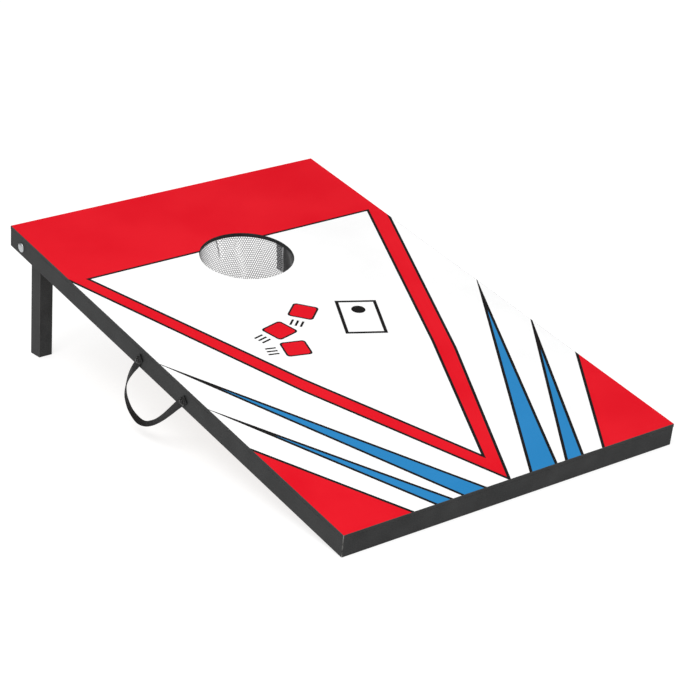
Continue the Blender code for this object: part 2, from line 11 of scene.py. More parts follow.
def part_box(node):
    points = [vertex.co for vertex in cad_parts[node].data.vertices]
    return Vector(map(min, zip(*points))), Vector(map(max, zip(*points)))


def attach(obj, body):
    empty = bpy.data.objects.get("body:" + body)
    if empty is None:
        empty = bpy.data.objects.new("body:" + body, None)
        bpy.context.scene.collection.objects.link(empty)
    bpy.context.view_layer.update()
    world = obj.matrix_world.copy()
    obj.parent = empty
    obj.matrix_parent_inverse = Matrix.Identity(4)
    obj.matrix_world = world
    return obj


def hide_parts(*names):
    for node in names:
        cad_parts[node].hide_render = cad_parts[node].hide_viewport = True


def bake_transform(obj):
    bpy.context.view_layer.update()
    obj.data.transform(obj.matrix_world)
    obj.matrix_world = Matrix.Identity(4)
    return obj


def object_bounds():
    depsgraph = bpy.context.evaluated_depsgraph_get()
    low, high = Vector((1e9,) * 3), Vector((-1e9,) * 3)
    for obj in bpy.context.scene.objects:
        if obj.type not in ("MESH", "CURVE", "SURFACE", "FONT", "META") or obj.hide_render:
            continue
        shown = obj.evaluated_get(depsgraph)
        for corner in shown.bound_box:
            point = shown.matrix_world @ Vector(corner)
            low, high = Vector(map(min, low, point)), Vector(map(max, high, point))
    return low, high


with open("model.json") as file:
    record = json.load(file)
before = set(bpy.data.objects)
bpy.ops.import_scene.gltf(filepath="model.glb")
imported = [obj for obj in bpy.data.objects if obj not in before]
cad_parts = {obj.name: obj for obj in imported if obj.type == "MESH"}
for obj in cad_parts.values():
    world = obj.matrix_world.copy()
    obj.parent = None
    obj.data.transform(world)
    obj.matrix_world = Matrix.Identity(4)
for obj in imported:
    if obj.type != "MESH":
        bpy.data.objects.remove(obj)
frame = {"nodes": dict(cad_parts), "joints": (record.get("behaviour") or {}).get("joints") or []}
cad_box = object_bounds()

# ---------------------------------------------------------------------------------------------------------
# The board's own frame: X across the board, Y up the slope from the low front edge, Z square to the deck from
# the rails' underside. Every new piece is shaped in this frame, then tilted as its mesh is finished.
# ---------------------------------------------------------------------------------------------------------
joints = {joint["name"]: joint for joint in frame["joints"]}
slope = Vector(joints["strap_swing"]["axis"])
tilt = math.atan2(slope.z, slope.y)
fold_point = Vector(joints["strap_swing"]["pos_m"])
deck_low, deck_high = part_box("deck_panel")
board_width = deck_high.x - deck_low.x
board_length = 0.900
fold_from_front = board_length * 0.427 + 0.060
front_middle = fold_point - slope * fold_from_front
front_middle.x = (deck_low.x + deck_high.x) / 2
BOARD = Matrix.Translation(front_middle) @ Matrix.Rotation(tilt, 4, "X")
OFF_BOARD = BOARD.inverted()


def board_box(node):
    """The lowest and highest corners of a CAD node, measured in the board's frame."""
    corners = [OFF_BOARD @ vertex.co for vertex in frame["nodes"][node].data.vertices]
    low = Vector(min(corner[axis] for corner in corners) for axis in range(3))
    high = Vector(max(corner[axis] for corner in corners) for axis in range(3))
    return low, high


def finish_piece(name, shape, materials, body="frame", replaces=(), smooth=False):
    """Tilts a finished shape with the board, makes it an object and lets it ride on its body."""
    bmesh.ops.transform(shape, matrix=BOARD, verts=shape.verts)
    mesh = bpy.data.meshes.new(name)
    shape.to_mesh(mesh)
    shape.free()
    for material in materials:
        mesh.materials.append(material)
    if smooth:
        mesh.shade_smooth()
        mesh.set_sharp_from_angle(angle=math.radians(38))
    piece = bpy.data.objects.new(name, mesh)
    bpy.context.scene.collection.objects.link(piece)
    if body is not None:
        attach(piece, body)
    if replaces:
        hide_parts(*replaces)
    return piece


def add_node(tree, kind, inputs=(), **settings):
    """Adds a shader node, sets its properties, and sets or links its inputs by name or number."""
    node = tree.nodes.new("ShaderNode" + kind)
    for name, value in settings.items():
        setattr(node, name, value)
    for name, value in dict(inputs).items():
        if isinstance(value, bpy.types.NodeSocket):
            tree.links.new(value, node.inputs[name])
        else:
            node.inputs[name].default_value = value
    return node


def reckon(tree, operation, *values, clamp=False):
    """One step of arithmetic on values over the surface."""
    node = add_node(tree, "Math", dict(enumerate(values)), operation=operation, use_clamp=clamp)
    return node.outputs[0]


def fade(tree, value, start, end, low=0.0, high=1.0):
    """Turns a value between start and end smoothly into one between low and high."""
    inputs = {"Value": value, "From Min": start, "From Max": end, "To Min": low, "To Max": high}
    return add_node(tree, "MapRange", inputs, interpolation_type="SMOOTHSTEP").outputs["Result"]


def blend_colours(tree, share, first, second):
    """The first colour where share is 0, and the second where it is 1."""
    first = (*first, 1.0) if isinstance(first, tuple) else first
    second = (*second, 1.0) if isinstance(second, tuple) else second
    node = add_node(tree, "Mix", data_type="RGBA")
    for socket, value in ((0, share), (6, first), (7, second)):
        if isinstance(value, bpy.types.NodeSocket):
            tree.links.new(value, node.inputs[socket])
        else:
            node.inputs[socket].default_value = value
    return node.outputs[2]


def grain_noise(tree, place, scale, stretch=(1, 1, 1), detail=4.0, roughness=0.5):
    """Noise drawn out along the grain: a smaller stretch makes longer marks on that axis."""
    drawn = add_node(tree, "Mapping", {"Vector": place, "Scale": stretch})
    inputs = {"Vector": drawn.outputs[0], "Scale": scale, "Detail": detail, "Roughness": roughness}
    return add_node(tree, "TexNoise", inputs).outputs["Fac"]


def place_on_board(tree):
    """Where a point of the surface lies in the board's frame."""
    turn = Matrix.Rotation(-tilt, 3, "X")
    inputs = {
        "Vector": add_node(tree, "TexCoord").outputs["Object"],
        "Location": -(turn @ front_middle),
        "Rotation": (-tilt, 0, 0),
    }
    return add_node(tree, "Mapping", inputs).outputs[0]


def new_finish(name):
    """A material with one Principled shader, whose patterns are added by the finish that uses it."""
    material = bpy.data.materials.new(name)
    material.use_nodes = True
    tree = material.node_tree
    return material, tree, tree.nodes["Principled BSDF"]


def bump(tree, shader, height, strength, distance):
    """Raises the surface by a height pattern."""
    inputs = {"Height": height, "Strength": strength, "Distance": distance}
    tree.links.new(add_node(tree, "Bump", inputs).outputs[0], shader.inputs["Normal"])


# ---------------------------------------------------------------------------------------------------------
# The four rails: planed softwood strips, 29 by 22 mm, mitred at the corners, glued under the deck and painted
# matt black after assembly. The paint is thin, so fine grain shows, and the arrises are rubbed paler.
# The upright corners are painted paler: part painted highlight on the arris, part bare wood at the mitre.
# ---------------------------------------------------------------------------------------------------------
PAINT_BLACK = (0.006, 0.0064, 0.0066)
PAINT_GREY = (0.032, 0.0326, 0.0328)
PAINT_RUBBED = (0.070, 0.069, 0.067)
# The next colour is the pale of the upright corners: part painted highlight on the arris, part bare mitre
# wood.
PAINT_CORNER_SEAM_AND_HIGHLIGHT = (0.22, 0.215, 0.205)
WEAR_AND_HIGHLIGHT_WIDTH = 0.0011


def edge_wear_and_corner_highlight_group():
    """Masks of a box-shaped piece's edges, and of its upright corners alone, made ragged with noise."""
    group = bpy.data.node_groups.new("edge_wear_and_corner_highlight", "ShaderNodeTree")
    for name in ("Place", "Low", "High"):
        group.interface.new_socket(name, in_out="INPUT", socket_type="NodeSocketVector")
    group.interface.new_socket("Width", in_out="INPUT", socket_type="NodeSocketFloat")
    for name in ("Edges", "Corners"):
        group.interface.new_socket(name, in_out="OUTPUT", socket_type="NodeSocketFloat")
    given = group.nodes.new("NodeGroupInput").outputs
    result = group.nodes.new("NodeGroupOutput").inputs
    from_low = add_node(group, "VectorMath", {0: given["Place"], 1: given["Low"]}, operation="SUBTRACT")
    from_high = add_node(group, "VectorMath", {0: given["High"], 1: given["Place"]}, operation="SUBTRACT")
    nearest = add_node(
        group, "VectorMath", {0: from_low.outputs[0], 1: from_high.outputs[0]}, operation="MINIMUM"
    )
    x, y, z = add_node(group, "SeparateXYZ", {0: nearest.outputs[0]}).outputs
    lesser = reckon(group, "MINIMUM", x, y)
    greater = reckon(group, "MAXIMUM", x, y)
    to_edge = reckon(group, "MAXIMUM", lesser, reckon(group, "MINIMUM", greater, z))
    rag = grain_noise(group, given["Place"], 140.0, detail=3.0)
    reach = reckon(group, "MULTIPLY", given["Width"], reckon(group, "MULTIPLY_ADD", rag, 1.8, 0.1))
    for distance, output in ((to_edge, "Edges"), (greater, "Corners")):
        share = reckon(group, "DIVIDE", distance, reach)
        group.links.new(fade(group, share, 0.35, 1.0, 1.0, 0.0), result[output])
    return group


edge_wear_and_corner_highlight = edge_wear_and_corner_highlight_group()


def painted_wood(name, low, high, along, corner_seam_and_highlight=0.0):
    """Thin matt black paint over planed wood: grain along one axis and edges rubbed. The upright corners are
    painted paler, part painted highlight on the arris and part bare wood at the mitre.
    """
    material, tree, shader = new_finish(name)
    place = place_on_board(tree)
    stretch = [1.0, 1.0, 1.0]
    stretch[along] = 0.07
    grain = grain_noise(tree, place, 420.0, stretch, detail=5.0, roughness=0.6)
    mottle = grain_noise(tree, place, 26.0, detail=3.0)
    speck = grain_noise(tree, place, 560.0, detail=3.0, roughness=0.7)
    shade = reckon(tree, "MULTIPLY_ADD", mottle, 0.35, reckon(tree, "MULTIPLY", speck, 0.65))
    colour = blend_colours(tree, fade(tree, shade, 0.32, 0.70), PAINT_BLACK, PAINT_GREY)
    edges = add_node(tree, "Group", {}, node_tree=edge_wear_and_corner_highlight)
    for socket, value in (("Low", low), ("High", high), ("Width", WEAR_AND_HIGHLIGHT_WIDTH)):
        edges.inputs[socket].default_value = value
    tree.links.new(place, edges.inputs["Place"])
    rubbed = reckon(tree, "MULTIPLY", edges.outputs["Edges"], 0.55)
    colour = blend_colours(tree, rubbed, colour, PAINT_RUBBED)
    # Paler down the upright corners: part painted highlight on the arris, part bare wood at the mitre seam.
    seam_and_highlight = reckon(tree, "MULTIPLY", edges.outputs["Corners"], corner_seam_and_highlight)
    tree.links.new(blend_colours(tree, seam_and_highlight, colour, PAINT_CORNER_SEAM_AND_HIGHLIGHT), shader.inputs["Base Color"])
    tree.links.new(fade(tree, shade, 0.2, 0.8, 0.50, 0.68), shader.inputs["Roughness"])
    shader.inputs["Specular IOR Level"].default_value = 0.22
    ridges = reckon(tree, "MULTIPLY_ADD", grain, 0.7, reckon(tree, "MULTIPLY", speck, 0.3))
    bump(tree, shader, ridges, 0.45, 0.0004)
    return material


deck_bottom = board_box("deck_panel")[0].z
frame_low = Vector((-board_width / 2, 0, 0))
frame_high = Vector((board_width / 2, board_length, deck_bottom))
for rail, along in (("front_rail", 0), ("rear_rail", 0), ("left_rail", 1), ("right_rail", 1)):
    finish = painted_wood("black_paint_" + rail, frame_low, frame_high, along, corner_seam_and_highlight=0.9)
    frame["nodes"][rail].data.materials[0] = finish

# ---------------------------------------------------------------------------------------------------------
# The cross brace and the two front corner blocks: planed pine, glued under the deck and left bare. They show
# straight grain, darker late wood in bands, and a few resin flecks.
# ---------------------------------------------------------------------------------------------------------
PINE_LIGHT = (0.62, 0.44, 0.255)
PINE_DARK = (0.40, 0.235, 0.110)
PINE_FLECK = (0.27, 0.145, 0.065)


def bare_pine(name, along):
    """Planed pine with its rings seen as long uneven bands."""
    material, tree, shader = new_finish(name)
    place = place_on_board(tree)
    stretch = [1.0, 1.0, 1.0]
    stretch[along] = 0.05
    rings = add_node(tree, "Mapping", {"Vector": place, "Scale": stretch})
    inputs = {
        "Vector": rings.outputs[0], "Scale": 95.0, "Distortion": 3.5, "Detail": 3.0, "Detail Scale": 1.2
    }
    bands = add_node(tree, "TexWave", inputs, wave_type="BANDS", bands_direction="DIAGONAL").outputs["Fac"]
    stretch[along] = 0.03
    fibre = grain_noise(tree, place, 700.0, stretch, detail=4.0)
    fleck = grain_noise(tree, place, 240.0, stretch, detail=1.0)
    ring_share = reckon(tree, "MULTIPLY", fade(tree, bands, 0.45, 1.0), 0.75)
    colour = blend_colours(tree, ring_share, PINE_LIGHT, PINE_DARK)
    colour = blend_colours(
        tree, reckon(tree, "MULTIPLY", fade(tree, fibre, 0.35, 0.8), 0.4), colour, PINE_DARK
    )
    colour = blend_colours(tree, fade(tree, fleck, 0.70, 0.78), colour, PINE_FLECK)
    tree.links.new(colour, shader.inputs["Base Color"])
    tree.links.new(fade(tree, fibre, 0.3, 0.8, 0.62, 0.78), shader.inputs["Roughness"])
    shader.inputs["Specular IOR Level"].default_value = 0.3
    bump(tree, shader, fibre, 0.5, 0.0003)
    return material


pine_across = bare_pine("pine_across", 0)
for block in ("cross_brace", "front_left_block", "front_right_block"):
    frame["nodes"][block].data.materials[0] = pine_across

# ---------------------------------------------------------------------------------------------------------
# The deck: 5 mm fibreboard with a printed satin film on its face, a round bag hole, and cut edges painted
# black with the rails. The print is a red field and V, blue spikes and red corners, all with black outlines.
# ---------------------------------------------------------------------------------------------------------
DECK_TOP = deck_bottom + 0.005
JUST_BELOW_TOP = DECK_TOP - 1e-5
DECK_SEAT = deck_bottom - 0.00025
DECK_ROUNDING = 0.0005
HOLE_RADIUS = 0.0715
HOLE_MIDDLE = board_length - 0.238
HOLE_SIDES = 128
OUTLINE = 0.0043
INK_WHITE = (0.87, 0.87, 0.87)
INK_RED = (0.690, 0.0012, 0.0110)
INK_BLUE = (0.018, 0.205, 0.475)
INK_BLACK = (0.012, 0.011, 0.011)

# Each printed shape, from the top layer down: its ink, and its outline's corners as shares of the board's
# width and length. The shape lies to the left of each line from one corner to the next.
PRINT = [
    ("white", [
        (0.048, 0.7813), (0.283, 0.3667), (0.481, 0.0657), (0.693, 0.3667), (0.962, 0.7837), (0.048, 0.7813)
    ]),
    ("red", [(0.0, 0.790), (0.2564, 0.3333), (0.4773, 0.0013), (0.7255, 0.3333), (1.0, 0.752)]),
    ("blue", [(0.4052, 0.0), (0.0335, 0.4565), (0.3388, 0.0)]),
    ("blue", [(0.3060, 0.0), (0.0362, 0.3125), (0.2607, 0.0)]),
    ("red", [(0.1947, 0.0), (0.0, 0.238)]),
    ("blue", [(0.6193, 0.0), (0.9673, 0.4577), (0.5417, 0.0)]),
    ("blue", [(0.7017, 0.0), (0.9765, 0.3240), (0.6513, 0.0)]),
    ("red", [(1.0, 0.2330), (0.7685, 0.0)]),
]
INKS = ["white", "red", "blue", "outline"]


def print_line(ends):
    """A line of the print as a point on it and the direction square to it, towards the shape's inside."""
    start, end = (Vector(((x - 0.5) * board_width, y * board_length, 0)) for x, y in ends)
    run = (end - start).normalized()
    return start, Vector((-run.y, run.x, 0))


PRINT_LINES = [(ink, [print_line(ends) for ends in zip(corners, corners[1:])]) for ink, corners in PRINT]


def ink_at(spot):
    """The ink that lies on the deck at a spot."""
    for ink, lines in PRINT_LINES:
        depth = min((spot - start).dot(inward) for start, inward in lines)
        if depth > OUTLINE / 2:
            return ink
        if depth > -OUTLINE / 2:
            return "outline"
    return "white"


def to_board_edge(vertex):
    """Moves a vertex straight out from the hole's middle to the edge of the board."""
    middle = Vector((0, HOLE_MIDDLE, 0))
    away = Vector((vertex.co.x, vertex.co.y - HOLE_MIDDLE, 0)).normalized()
    reaches = []
    if abs(away.x) > 1e-6:
        reaches.append(board_width / 2 / abs(away.x))
    if abs(away.y) > 1e-6:
        reaches.append(((board_length - HOLE_MIDDLE) if away.y > 0 else HOLE_MIDDLE) / abs(away.y))
    spot = middle + away * min(reaches)
    vertex.co.x, vertex.co.y = spot.x, spot.y


def new_parts(made, kind):
    """The vertices or edges among what an operator returned."""
    return [part for part in made["geom"] if isinstance(part, kind)]


def printed_faces(shape):
    """The faces of the deck's upper side."""
    return [
        face for face in shape.faces
        if face.normal.z > 0.99 and face.calc_center_median().z > JUST_BELOW_TOP
    ]


def deck_shape():
    """The panel, drawn out from its hole: up the hole's wall, out to the edges, down, and back underneath."""
    shape = bmesh.new()
    bmesh.ops.create_circle(shape, segments=HOLE_SIDES, radius=HOLE_RADIUS)
    bmesh.ops.translate(shape, vec=(0, HOLE_MIDDLE, DECK_SEAT), verts=shape.verts)
    first = shape.edges[:]
    rise = Vector((0, 0, DECK_TOP - DECK_SEAT))
    wall = bmesh.ops.extrude_edge_only(shape, edges=first)
    bmesh.ops.translate(shape, vec=rise, verts=new_parts(wall, bmesh.types.BMVert))
    face = bmesh.ops.extrude_edge_only(shape, edges=loop_of(wall))
    outer = new_parts(face, bmesh.types.BMVert)
    for vertex in outer:
        to_board_edge(vertex)
    for x in (-board_width / 2, board_width / 2):
        for y in (0, board_length):
            corner = Vector((x, y, DECK_TOP))
            min(outer, key=lambda vertex: (vertex.co - corner).length).co = corner
    side = bmesh.ops.extrude_edge_only(shape, edges=loop_of(face))
    bmesh.ops.translate(shape, vec=-rise, verts=new_parts(side, bmesh.types.BMVert))
    bmesh.ops.bridge_loops(shape, edges=loop_of(side) + first)
    bmesh.ops.recalc_face_normals(shape, faces=shape.faces)
    soften_deck_edges(shape)
    for _, lines in PRINT_LINES:
        for start, inward in lines:
            for offset in (-OUTLINE / 2, OUTLINE / 2):
                cut_print(shape, start + inward * offset, inward)
    return shape


def loop_of(made):
    """The loop of edges that an extrusion ended in."""
    verts = set(new_parts(made, bmesh.types.BMVert))
    return [edge for edge in new_parts(made, bmesh.types.BMEdge) if all(vert in verts for vert in edge.verts)]


def soften_deck_edges(shape):
    """Breaks the sharp upper edges of the panel and of its hole."""
    edges = []
    for edge in shape.edges:
        above = all(v.co.z > JUST_BELOW_TOP for v in edge.verts)
        if edge.is_manifold and edge.calc_face_angle() > 0.9 and above:
            edges.append(edge)
    bmesh.ops.bevel(
        shape, geom=edges, offset=DECK_ROUNDING, segments=2, profile=0.5, affect="EDGES", material=-1
    )


def cut_print(shape, start, inward):
    """Cuts the printed face along one side of an outline, so that each ink has its own faces."""
    faces = printed_faces(shape)
    parts = set(faces)
    for face in faces:
        parts.update(face.edges)
        parts.update(face.verts)
    bmesh.ops.bisect_plane(shape, geom=list(parts), dist=1e-6, plane_co=start, plane_no=inward)


def ink_finish(name, colour, roughness):
    """Screen-printed ink under a satin film: a very fine tooth, faintly uneven in colour and gloss."""
    material, tree, shader = new_finish(name)
    place = place_on_board(tree)
    tooth = grain_noise(tree, place, 1500.0, detail=2.0)
    cloud = grain_noise(tree, place, 9.0, detail=3.0)
    paler = tuple(min(1.0, channel * 1.03 + 0.004) for channel in colour)
    deeper = tuple(channel * 0.965 for channel in colour)
    share = reckon(tree, "MULTIPLY_ADD", cloud, 0.7, reckon(tree, "MULTIPLY", tooth, 0.3))
    tree.links.new(
        blend_colours(tree, fade(tree, share, 0.3, 0.7), deeper, paler), shader.inputs["Base Color"]
    )
    worn = fade(tree, cloud, 0.3, 0.7, roughness - 0.03, roughness + 0.04)
    tree.links.new(worn, shader.inputs["Roughness"])
    shader.inputs["Specular IOR Level"].default_value = 0.06
    bump(tree, shader, tooth, 0.12, 0.0001)
    return material


def fibreboard():
    """The bare underside of the panel: pressed brown fibre with dark and pale shreds."""
    material, tree, shader = new_finish("bare_fibreboard")
    place = place_on_board(tree)
    shreds = grain_noise(tree, place, 1100.0, (1, 0.35, 1), detail=4.0, roughness=0.6)
    cloud = grain_noise(tree, place, 14.0, detail=3.0)
    colour = blend_colours(tree, fade(tree, shreds, 0.32, 0.72), (0.20, 0.118, 0.062), (0.38, 0.25, 0.145))
    colour = blend_colours(tree, fade(tree, cloud, 0.35, 0.75, 0.0, 0.35), colour, (0.27, 0.17, 0.095))
    tree.links.new(colour, shader.inputs["Base Color"])
    tree.links.new(fade(tree, shreds, 0.3, 0.8, 0.7, 0.88), shader.inputs["Roughness"])
    shader.inputs["Specular IOR Level"].default_value = 0.25
    bump(tree, shader, shreds, 0.35, 0.0002)
    return material


ink_white = ink_finish("ink_white", INK_WHITE, 0.42)
ink_red = ink_finish("ink_red", INK_RED, 0.42)
ink_blue = ink_finish("ink_blue", INK_BLUE, 0.42)
ink_black = ink_finish("ink_black", INK_BLACK, 0.45)
deck_top_corner = frame_high + Vector((0, 0, DECK_TOP - deck_bottom))
deck_edge = painted_wood("black_paint_deck_edge", frame_low, deck_top_corner, 1, corner_seam_and_highlight=0.9)
deck = deck_shape()
for face in deck.faces:
    middle = face.calc_center_median()
    if face.normal.z > 0.99 and middle.z > DECK_TOP - 1e-5:
        face.material_index = INKS.index(ink_at(middle))
    elif face.normal.z < -0.9:
        face.material_index = 5
    else:
        face.material_index = 4
finish_piece(
    "printed_deck",
    deck,
    [ink_white, ink_red, ink_blue, ink_black, deck_edge, fibreboard()],
    replaces=["deck_panel"],
)

# ---------------------------------------------------------------------------------------------------------
# The emblem in the middle of the deck: a plain picture of the game, printed over the white field in thick
# coats. Three red bags with black edges fly in an arc towards a small board drawn in black lines.
# ---------------------------------------------------------------------------------------------------------
EMBLEM_MIDDLE = Vector((-0.002, board_length * 0.490, 0))
EMBLEM_BAGS = [(-0.080, -0.040, -14), (-0.074, 0.012, 14), (-0.014, 0.042, 42)]
BAG_HALF = 0.0195
BAG_CORNER = 0.0058
BAG_EDGE = 0.0028
TRAIL_HALF = 0.0080
TRAIL_LINE = 0.0017
ICON_MIDDLE = Vector((0.054, -0.008, 0))
ICON_TURN = math.radians(-24)
ICON_HALF = Vector((0.0310, 0.0470, 0))
ICON_LINE = 0.0050
ICON_HOLE = Vector((0.0, 0.0210, 0))
ICON_HOLE_RADIUS = 0.0105
COAT = 0.00006


def rounded_square(half, corner):
    """The outline of a square with rounded corners, round its middle."""
    points = []
    for quarter in range(4):
        middle = Matrix.Rotation(math.pi / 2 * quarter, 3, "Z") @ Vector((half - corner, half - corner, 0))
        for step in range(7):
            turn = math.pi / 2 * (quarter + step / 6)
            points.append(middle + corner * Vector((math.cos(turn), math.sin(turn), 0)))
    return points


def add_coat(shape, place, outline, coats, ink):
    """A flat closed layer of ink with a given outline, one or two coats thick."""
    start = len(shape.faces)
    face = shape.faces.new([shape.verts.new(place @ point) for point in outline])
    made = bmesh.ops.extrude_face_region(shape, geom=[face])
    bmesh.ops.translate(shape, vec=(0, 0, coats * COAT), verts=new_parts(made, bmesh.types.BMVert))
    shape.faces.ensure_lookup_table()
    for index in range(start, len(shape.faces)):
        shape.faces[index].material_index = ink


def add_bag(shape, place):
    """A flying bag: its black edge, its red cloth, and three short lines behind it."""
    add_coat(shape, place, rounded_square(BAG_HALF, BAG_CORNER), 1, 0)
    add_coat(shape, place, rounded_square(BAG_HALF - BAG_EDGE, BAG_CORNER - BAG_EDGE / 2), 2, 1)
    for offset in (-0.4, 0.0, 0.4):
        middle = Vector((-BAG_HALF - 2 * TRAIL_HALF, offset * BAG_HALF, 0))
        corners = ((-1, -1), (1, -1), (1, 1), (-1, 1))
        line = [middle + Vector((a * TRAIL_HALF, b * TRAIL_LINE, 0)) for a, b in corners]
        add_coat(shape, place, line, 1, 0)


def add_icon(shape, place):
    """The small board: four mitred lines round a black disc."""
    corners = [Vector((a * ICON_HALF.x, b * ICON_HALF.y, 0)) for a, b in ((-1, -1), (1, -1), (1, 1), (-1, 1))]
    inner = [
        corner - Vector((math.copysign(ICON_LINE, corner.x), math.copysign(ICON_LINE, corner.y), 0))
        for corner in corners
    ]
    for side in range(4):
        other = (side + 1) % 4
        add_coat(shape, place, [corners[side], corners[other], inner[other], inner[side]], 1, 0)
    turns = [math.tau * step / 48 for step in range(48)]
    disc = [ICON_HOLE + ICON_HOLE_RADIUS * Vector((math.cos(turn), math.sin(turn), 0)) for turn in turns]
    add_coat(shape, place, disc, 1, 0)


def emblem_shape():
    """The whole emblem, its lowest coat half sunk in the deck's own print."""
    shape = bmesh.new()
    middle = Matrix.Translation(EMBLEM_MIDDLE + Vector((0, 0, DECK_TOP - COAT / 2)))
    for x, y, turn in EMBLEM_BAGS:
        add_bag(shape, middle @ Matrix.Translation((x, y, 0)) @ Matrix.Rotation(math.radians(turn), 4, "Z"))
    add_icon(shape, middle @ Matrix.Translation(ICON_MIDDLE) @ Matrix.Rotation(ICON_TURN, 4, "Z"))
    bmesh.ops.recalc_face_normals(shape, faces=shape.faces)
    return shape


finish_piece("printed_emblem", emblem_shape(), [ink_black, ink_red])

# ---------------------------------------------------------------------------------------------------------
# The two legs: planed softwood bars with rounded tops and slanted feet, painted like the rails. Each folds up
# inside the frame on its own bolt, and its grain runs down its length.
# ---------------------------------------------------------------------------------------------------------
for leg in ("left_leg", "right_leg"):
    finish = painted_wood("black_paint_" + leg, *board_box(leg), 2)
    frame["nodes"][leg].data.materials[0] = finish

# ---------------------------------------------------------------------------------------------------------
# The pivot hardware on each side: a bright zinc-plated carriage bolt with an M6 thread, a black nylon spacer
# pressed between rail and leg, a punched flat washer, and a die-cast wing nut that clamps the leg by hand.
# ---------------------------------------------------------------------------------------------------------
BOLT_RADIUS = 0.0030
THREAD_PITCH = 0.0010
THREAD_DEPTH = 0.0005
THREAD_LENGTH = 0.018
HEAD_RADIUS = 0.0078
HEAD_HEIGHT = 0.0034
NECK_HALF = 0.0031
NECK_LENGTH = 0.0034
NUT_HEIGHT = 0.0070
NUT_FOOT_RADIUS = 0.0055
NUT_TOP_RADIUS = 0.0044
WING_REACH = 0.0120
WING_RISE = 0.0058
WING_THICKNESS = 0.0018
ROUND_SIDES = 48


def lathe(shape, profile, sides=ROUND_SIDES):
    """Turns a profile of (radius, height) points about the Z axis and adds it to a shape."""
    points = [shape.verts.new((radius, 0, height)) for radius, height in profile]
    edges = [shape.edges.new(pair) for pair in zip(points, points[1:])]
    bmesh.ops.spin(
        shape, geom=points + edges, cent=(0, 0, 0), axis=(0, 0, 1), angle=math.tau, steps=sides,
        use_merge=True
    )
    bmesh.ops.remove_doubles(shape, verts=shape.verts, dist=1e-6)
    bmesh.ops.recalc_face_normals(shape, faces=shape.faces)


def thread_shape(shape, start, end, rows_each=7, sides=32):
    """A threaded end on the Z axis: rings that follow the turning thread, closed by a chamfered tip."""
    count = round((end - start) / THREAD_PITCH * rows_each)
    rings = []
    for row in range(count + 1):
        height = start + (end - start) * row / count
        near_tip = min(1.0, (end - height) / 0.0008)
        ring = []
        for side in range(sides):
            phase = (height / THREAD_PITCH - side / sides) % 1.0
            depth = THREAD_DEPTH * (1 - min(1.0, 2.6 * abs(phase - 0.5)))
            radius = BOLT_RADIUS * (0.78 + 0.22 * near_tip) - depth * near_tip
            angle = math.tau * side / sides
            ring.append(shape.verts.new((radius * math.cos(angle), radius * math.sin(angle), height)))
        rings.append(ring)
    for lower, upper in zip(rings, rings[1:]):
        for side in range(sides):
            other = (side + 1) % sides
            shape.faces.new((lower[side], lower[other], upper[other], upper[side]))
    shape.faces.new(rings[-1])
    shape.faces.new(list(reversed(rings[0])))


def bolt_shape(length):
    """A carriage bolt along Z: a domed head below 0, a square neck, a plain shank and a threaded end."""
    shape = bmesh.new()
    steps = 9
    dome = []
    for step in range(steps + 1):
        turn = math.pi / 2 * step / steps
        dome.append((HEAD_RADIUS * math.sin(turn), -0.0007 - (HEAD_HEIGHT - 0.0007) * math.cos(turn)))
    body = [
        (HEAD_RADIUS, -0.0002), (HEAD_RADIUS - 0.0003, 0), (BOLT_RADIUS, 0),
        (BOLT_RADIUS, length - THREAD_LENGTH),
    ]
    lathe(shape, dome + body + [(0, length - THREAD_LENGTH)])
    thread_shape(shape, length - THREAD_LENGTH, length)
    neck = bmesh.ops.create_cube(shape, size=2 * NECK_HALF)["verts"]
    bmesh.ops.scale(shape, vec=(1, 1, NECK_LENGTH / (2 * NECK_HALF)), verts=neck)
    bmesh.ops.translate(shape, vec=(0, 0, NECK_LENGTH / 2), verts=neck)
    return shape


def wing_outline():
    """One wing of the nut seen square on, from its root round its ear, as (reach, height) points."""
    ear = 0.0034
    middle = (WING_REACH - ear, NUT_HEIGHT + WING_RISE - ear)
    points = [(0.0015, 0.0012), (NUT_FOOT_RADIUS + 0.0002, 0.0016), (0.0075, 0.0042)]
    for step in range(11):
        turn = math.radians(-28 + 160 * step / 10)
        points.append((middle[0] + ear * math.cos(turn), middle[1] + ear * math.sin(turn)))
    points += [(0.0047, NUT_HEIGHT + 0.0009), (0.0015, NUT_HEIGHT - 0.0002)]
    return points


def wing_nut_shape():
    """A die-cast wing nut on the Z axis, its hub and wings melted into one skin with small fillets."""
    shape = bmesh.new()
    hub = [(0, 0), (NUT_FOOT_RADIUS - 0.0005, 0), (NUT_FOOT_RADIUS, 0.0005), (NUT_FOOT_RADIUS, 0.0014)]
    hub += [(NUT_TOP_RADIUS, NUT_HEIGHT - 0.0006), (NUT_TOP_RADIUS - 0.0006, NUT_HEIGHT), (0, NUT_HEIGHT)]
    lathe(shape, hub)
    for side in (-1, 1):
        outline = [Vector((side * reach, -WING_THICKNESS / 2, height)) for reach, height in wing_outline()]
        plate = shape.faces.new([shape.verts.new(point) for point in outline])
        made = bmesh.ops.extrude_face_region(shape, geom=[plate])
        bmesh.ops.translate(shape, vec=(0, WING_THICKNESS, 0), verts=new_parts(made, bmesh.types.BMVert))
    bmesh.ops.recalc_face_normals(shape, faces=shape.faces)
    shape = melted(shape, voxel=0.00030, smoothing=5)
    bore = bmesh.new()
    bmesh.ops.create_cone(
        bore, segments=32, radius1=BOLT_RADIUS, radius2=BOLT_RADIUS, depth=0.03, cap_ends=True
    )
    return cut_away(shape, bore)


def loose_object(name, shape):
    """A helper object for a modifier to read, not part of the scene's list of pieces for long."""
    mesh = bpy.data.meshes.new(name)
    shape.to_mesh(mesh)
    shape.free()
    helper = bpy.data.objects.new(name, mesh)
    bpy.context.scene.collection.objects.link(helper)
    return helper


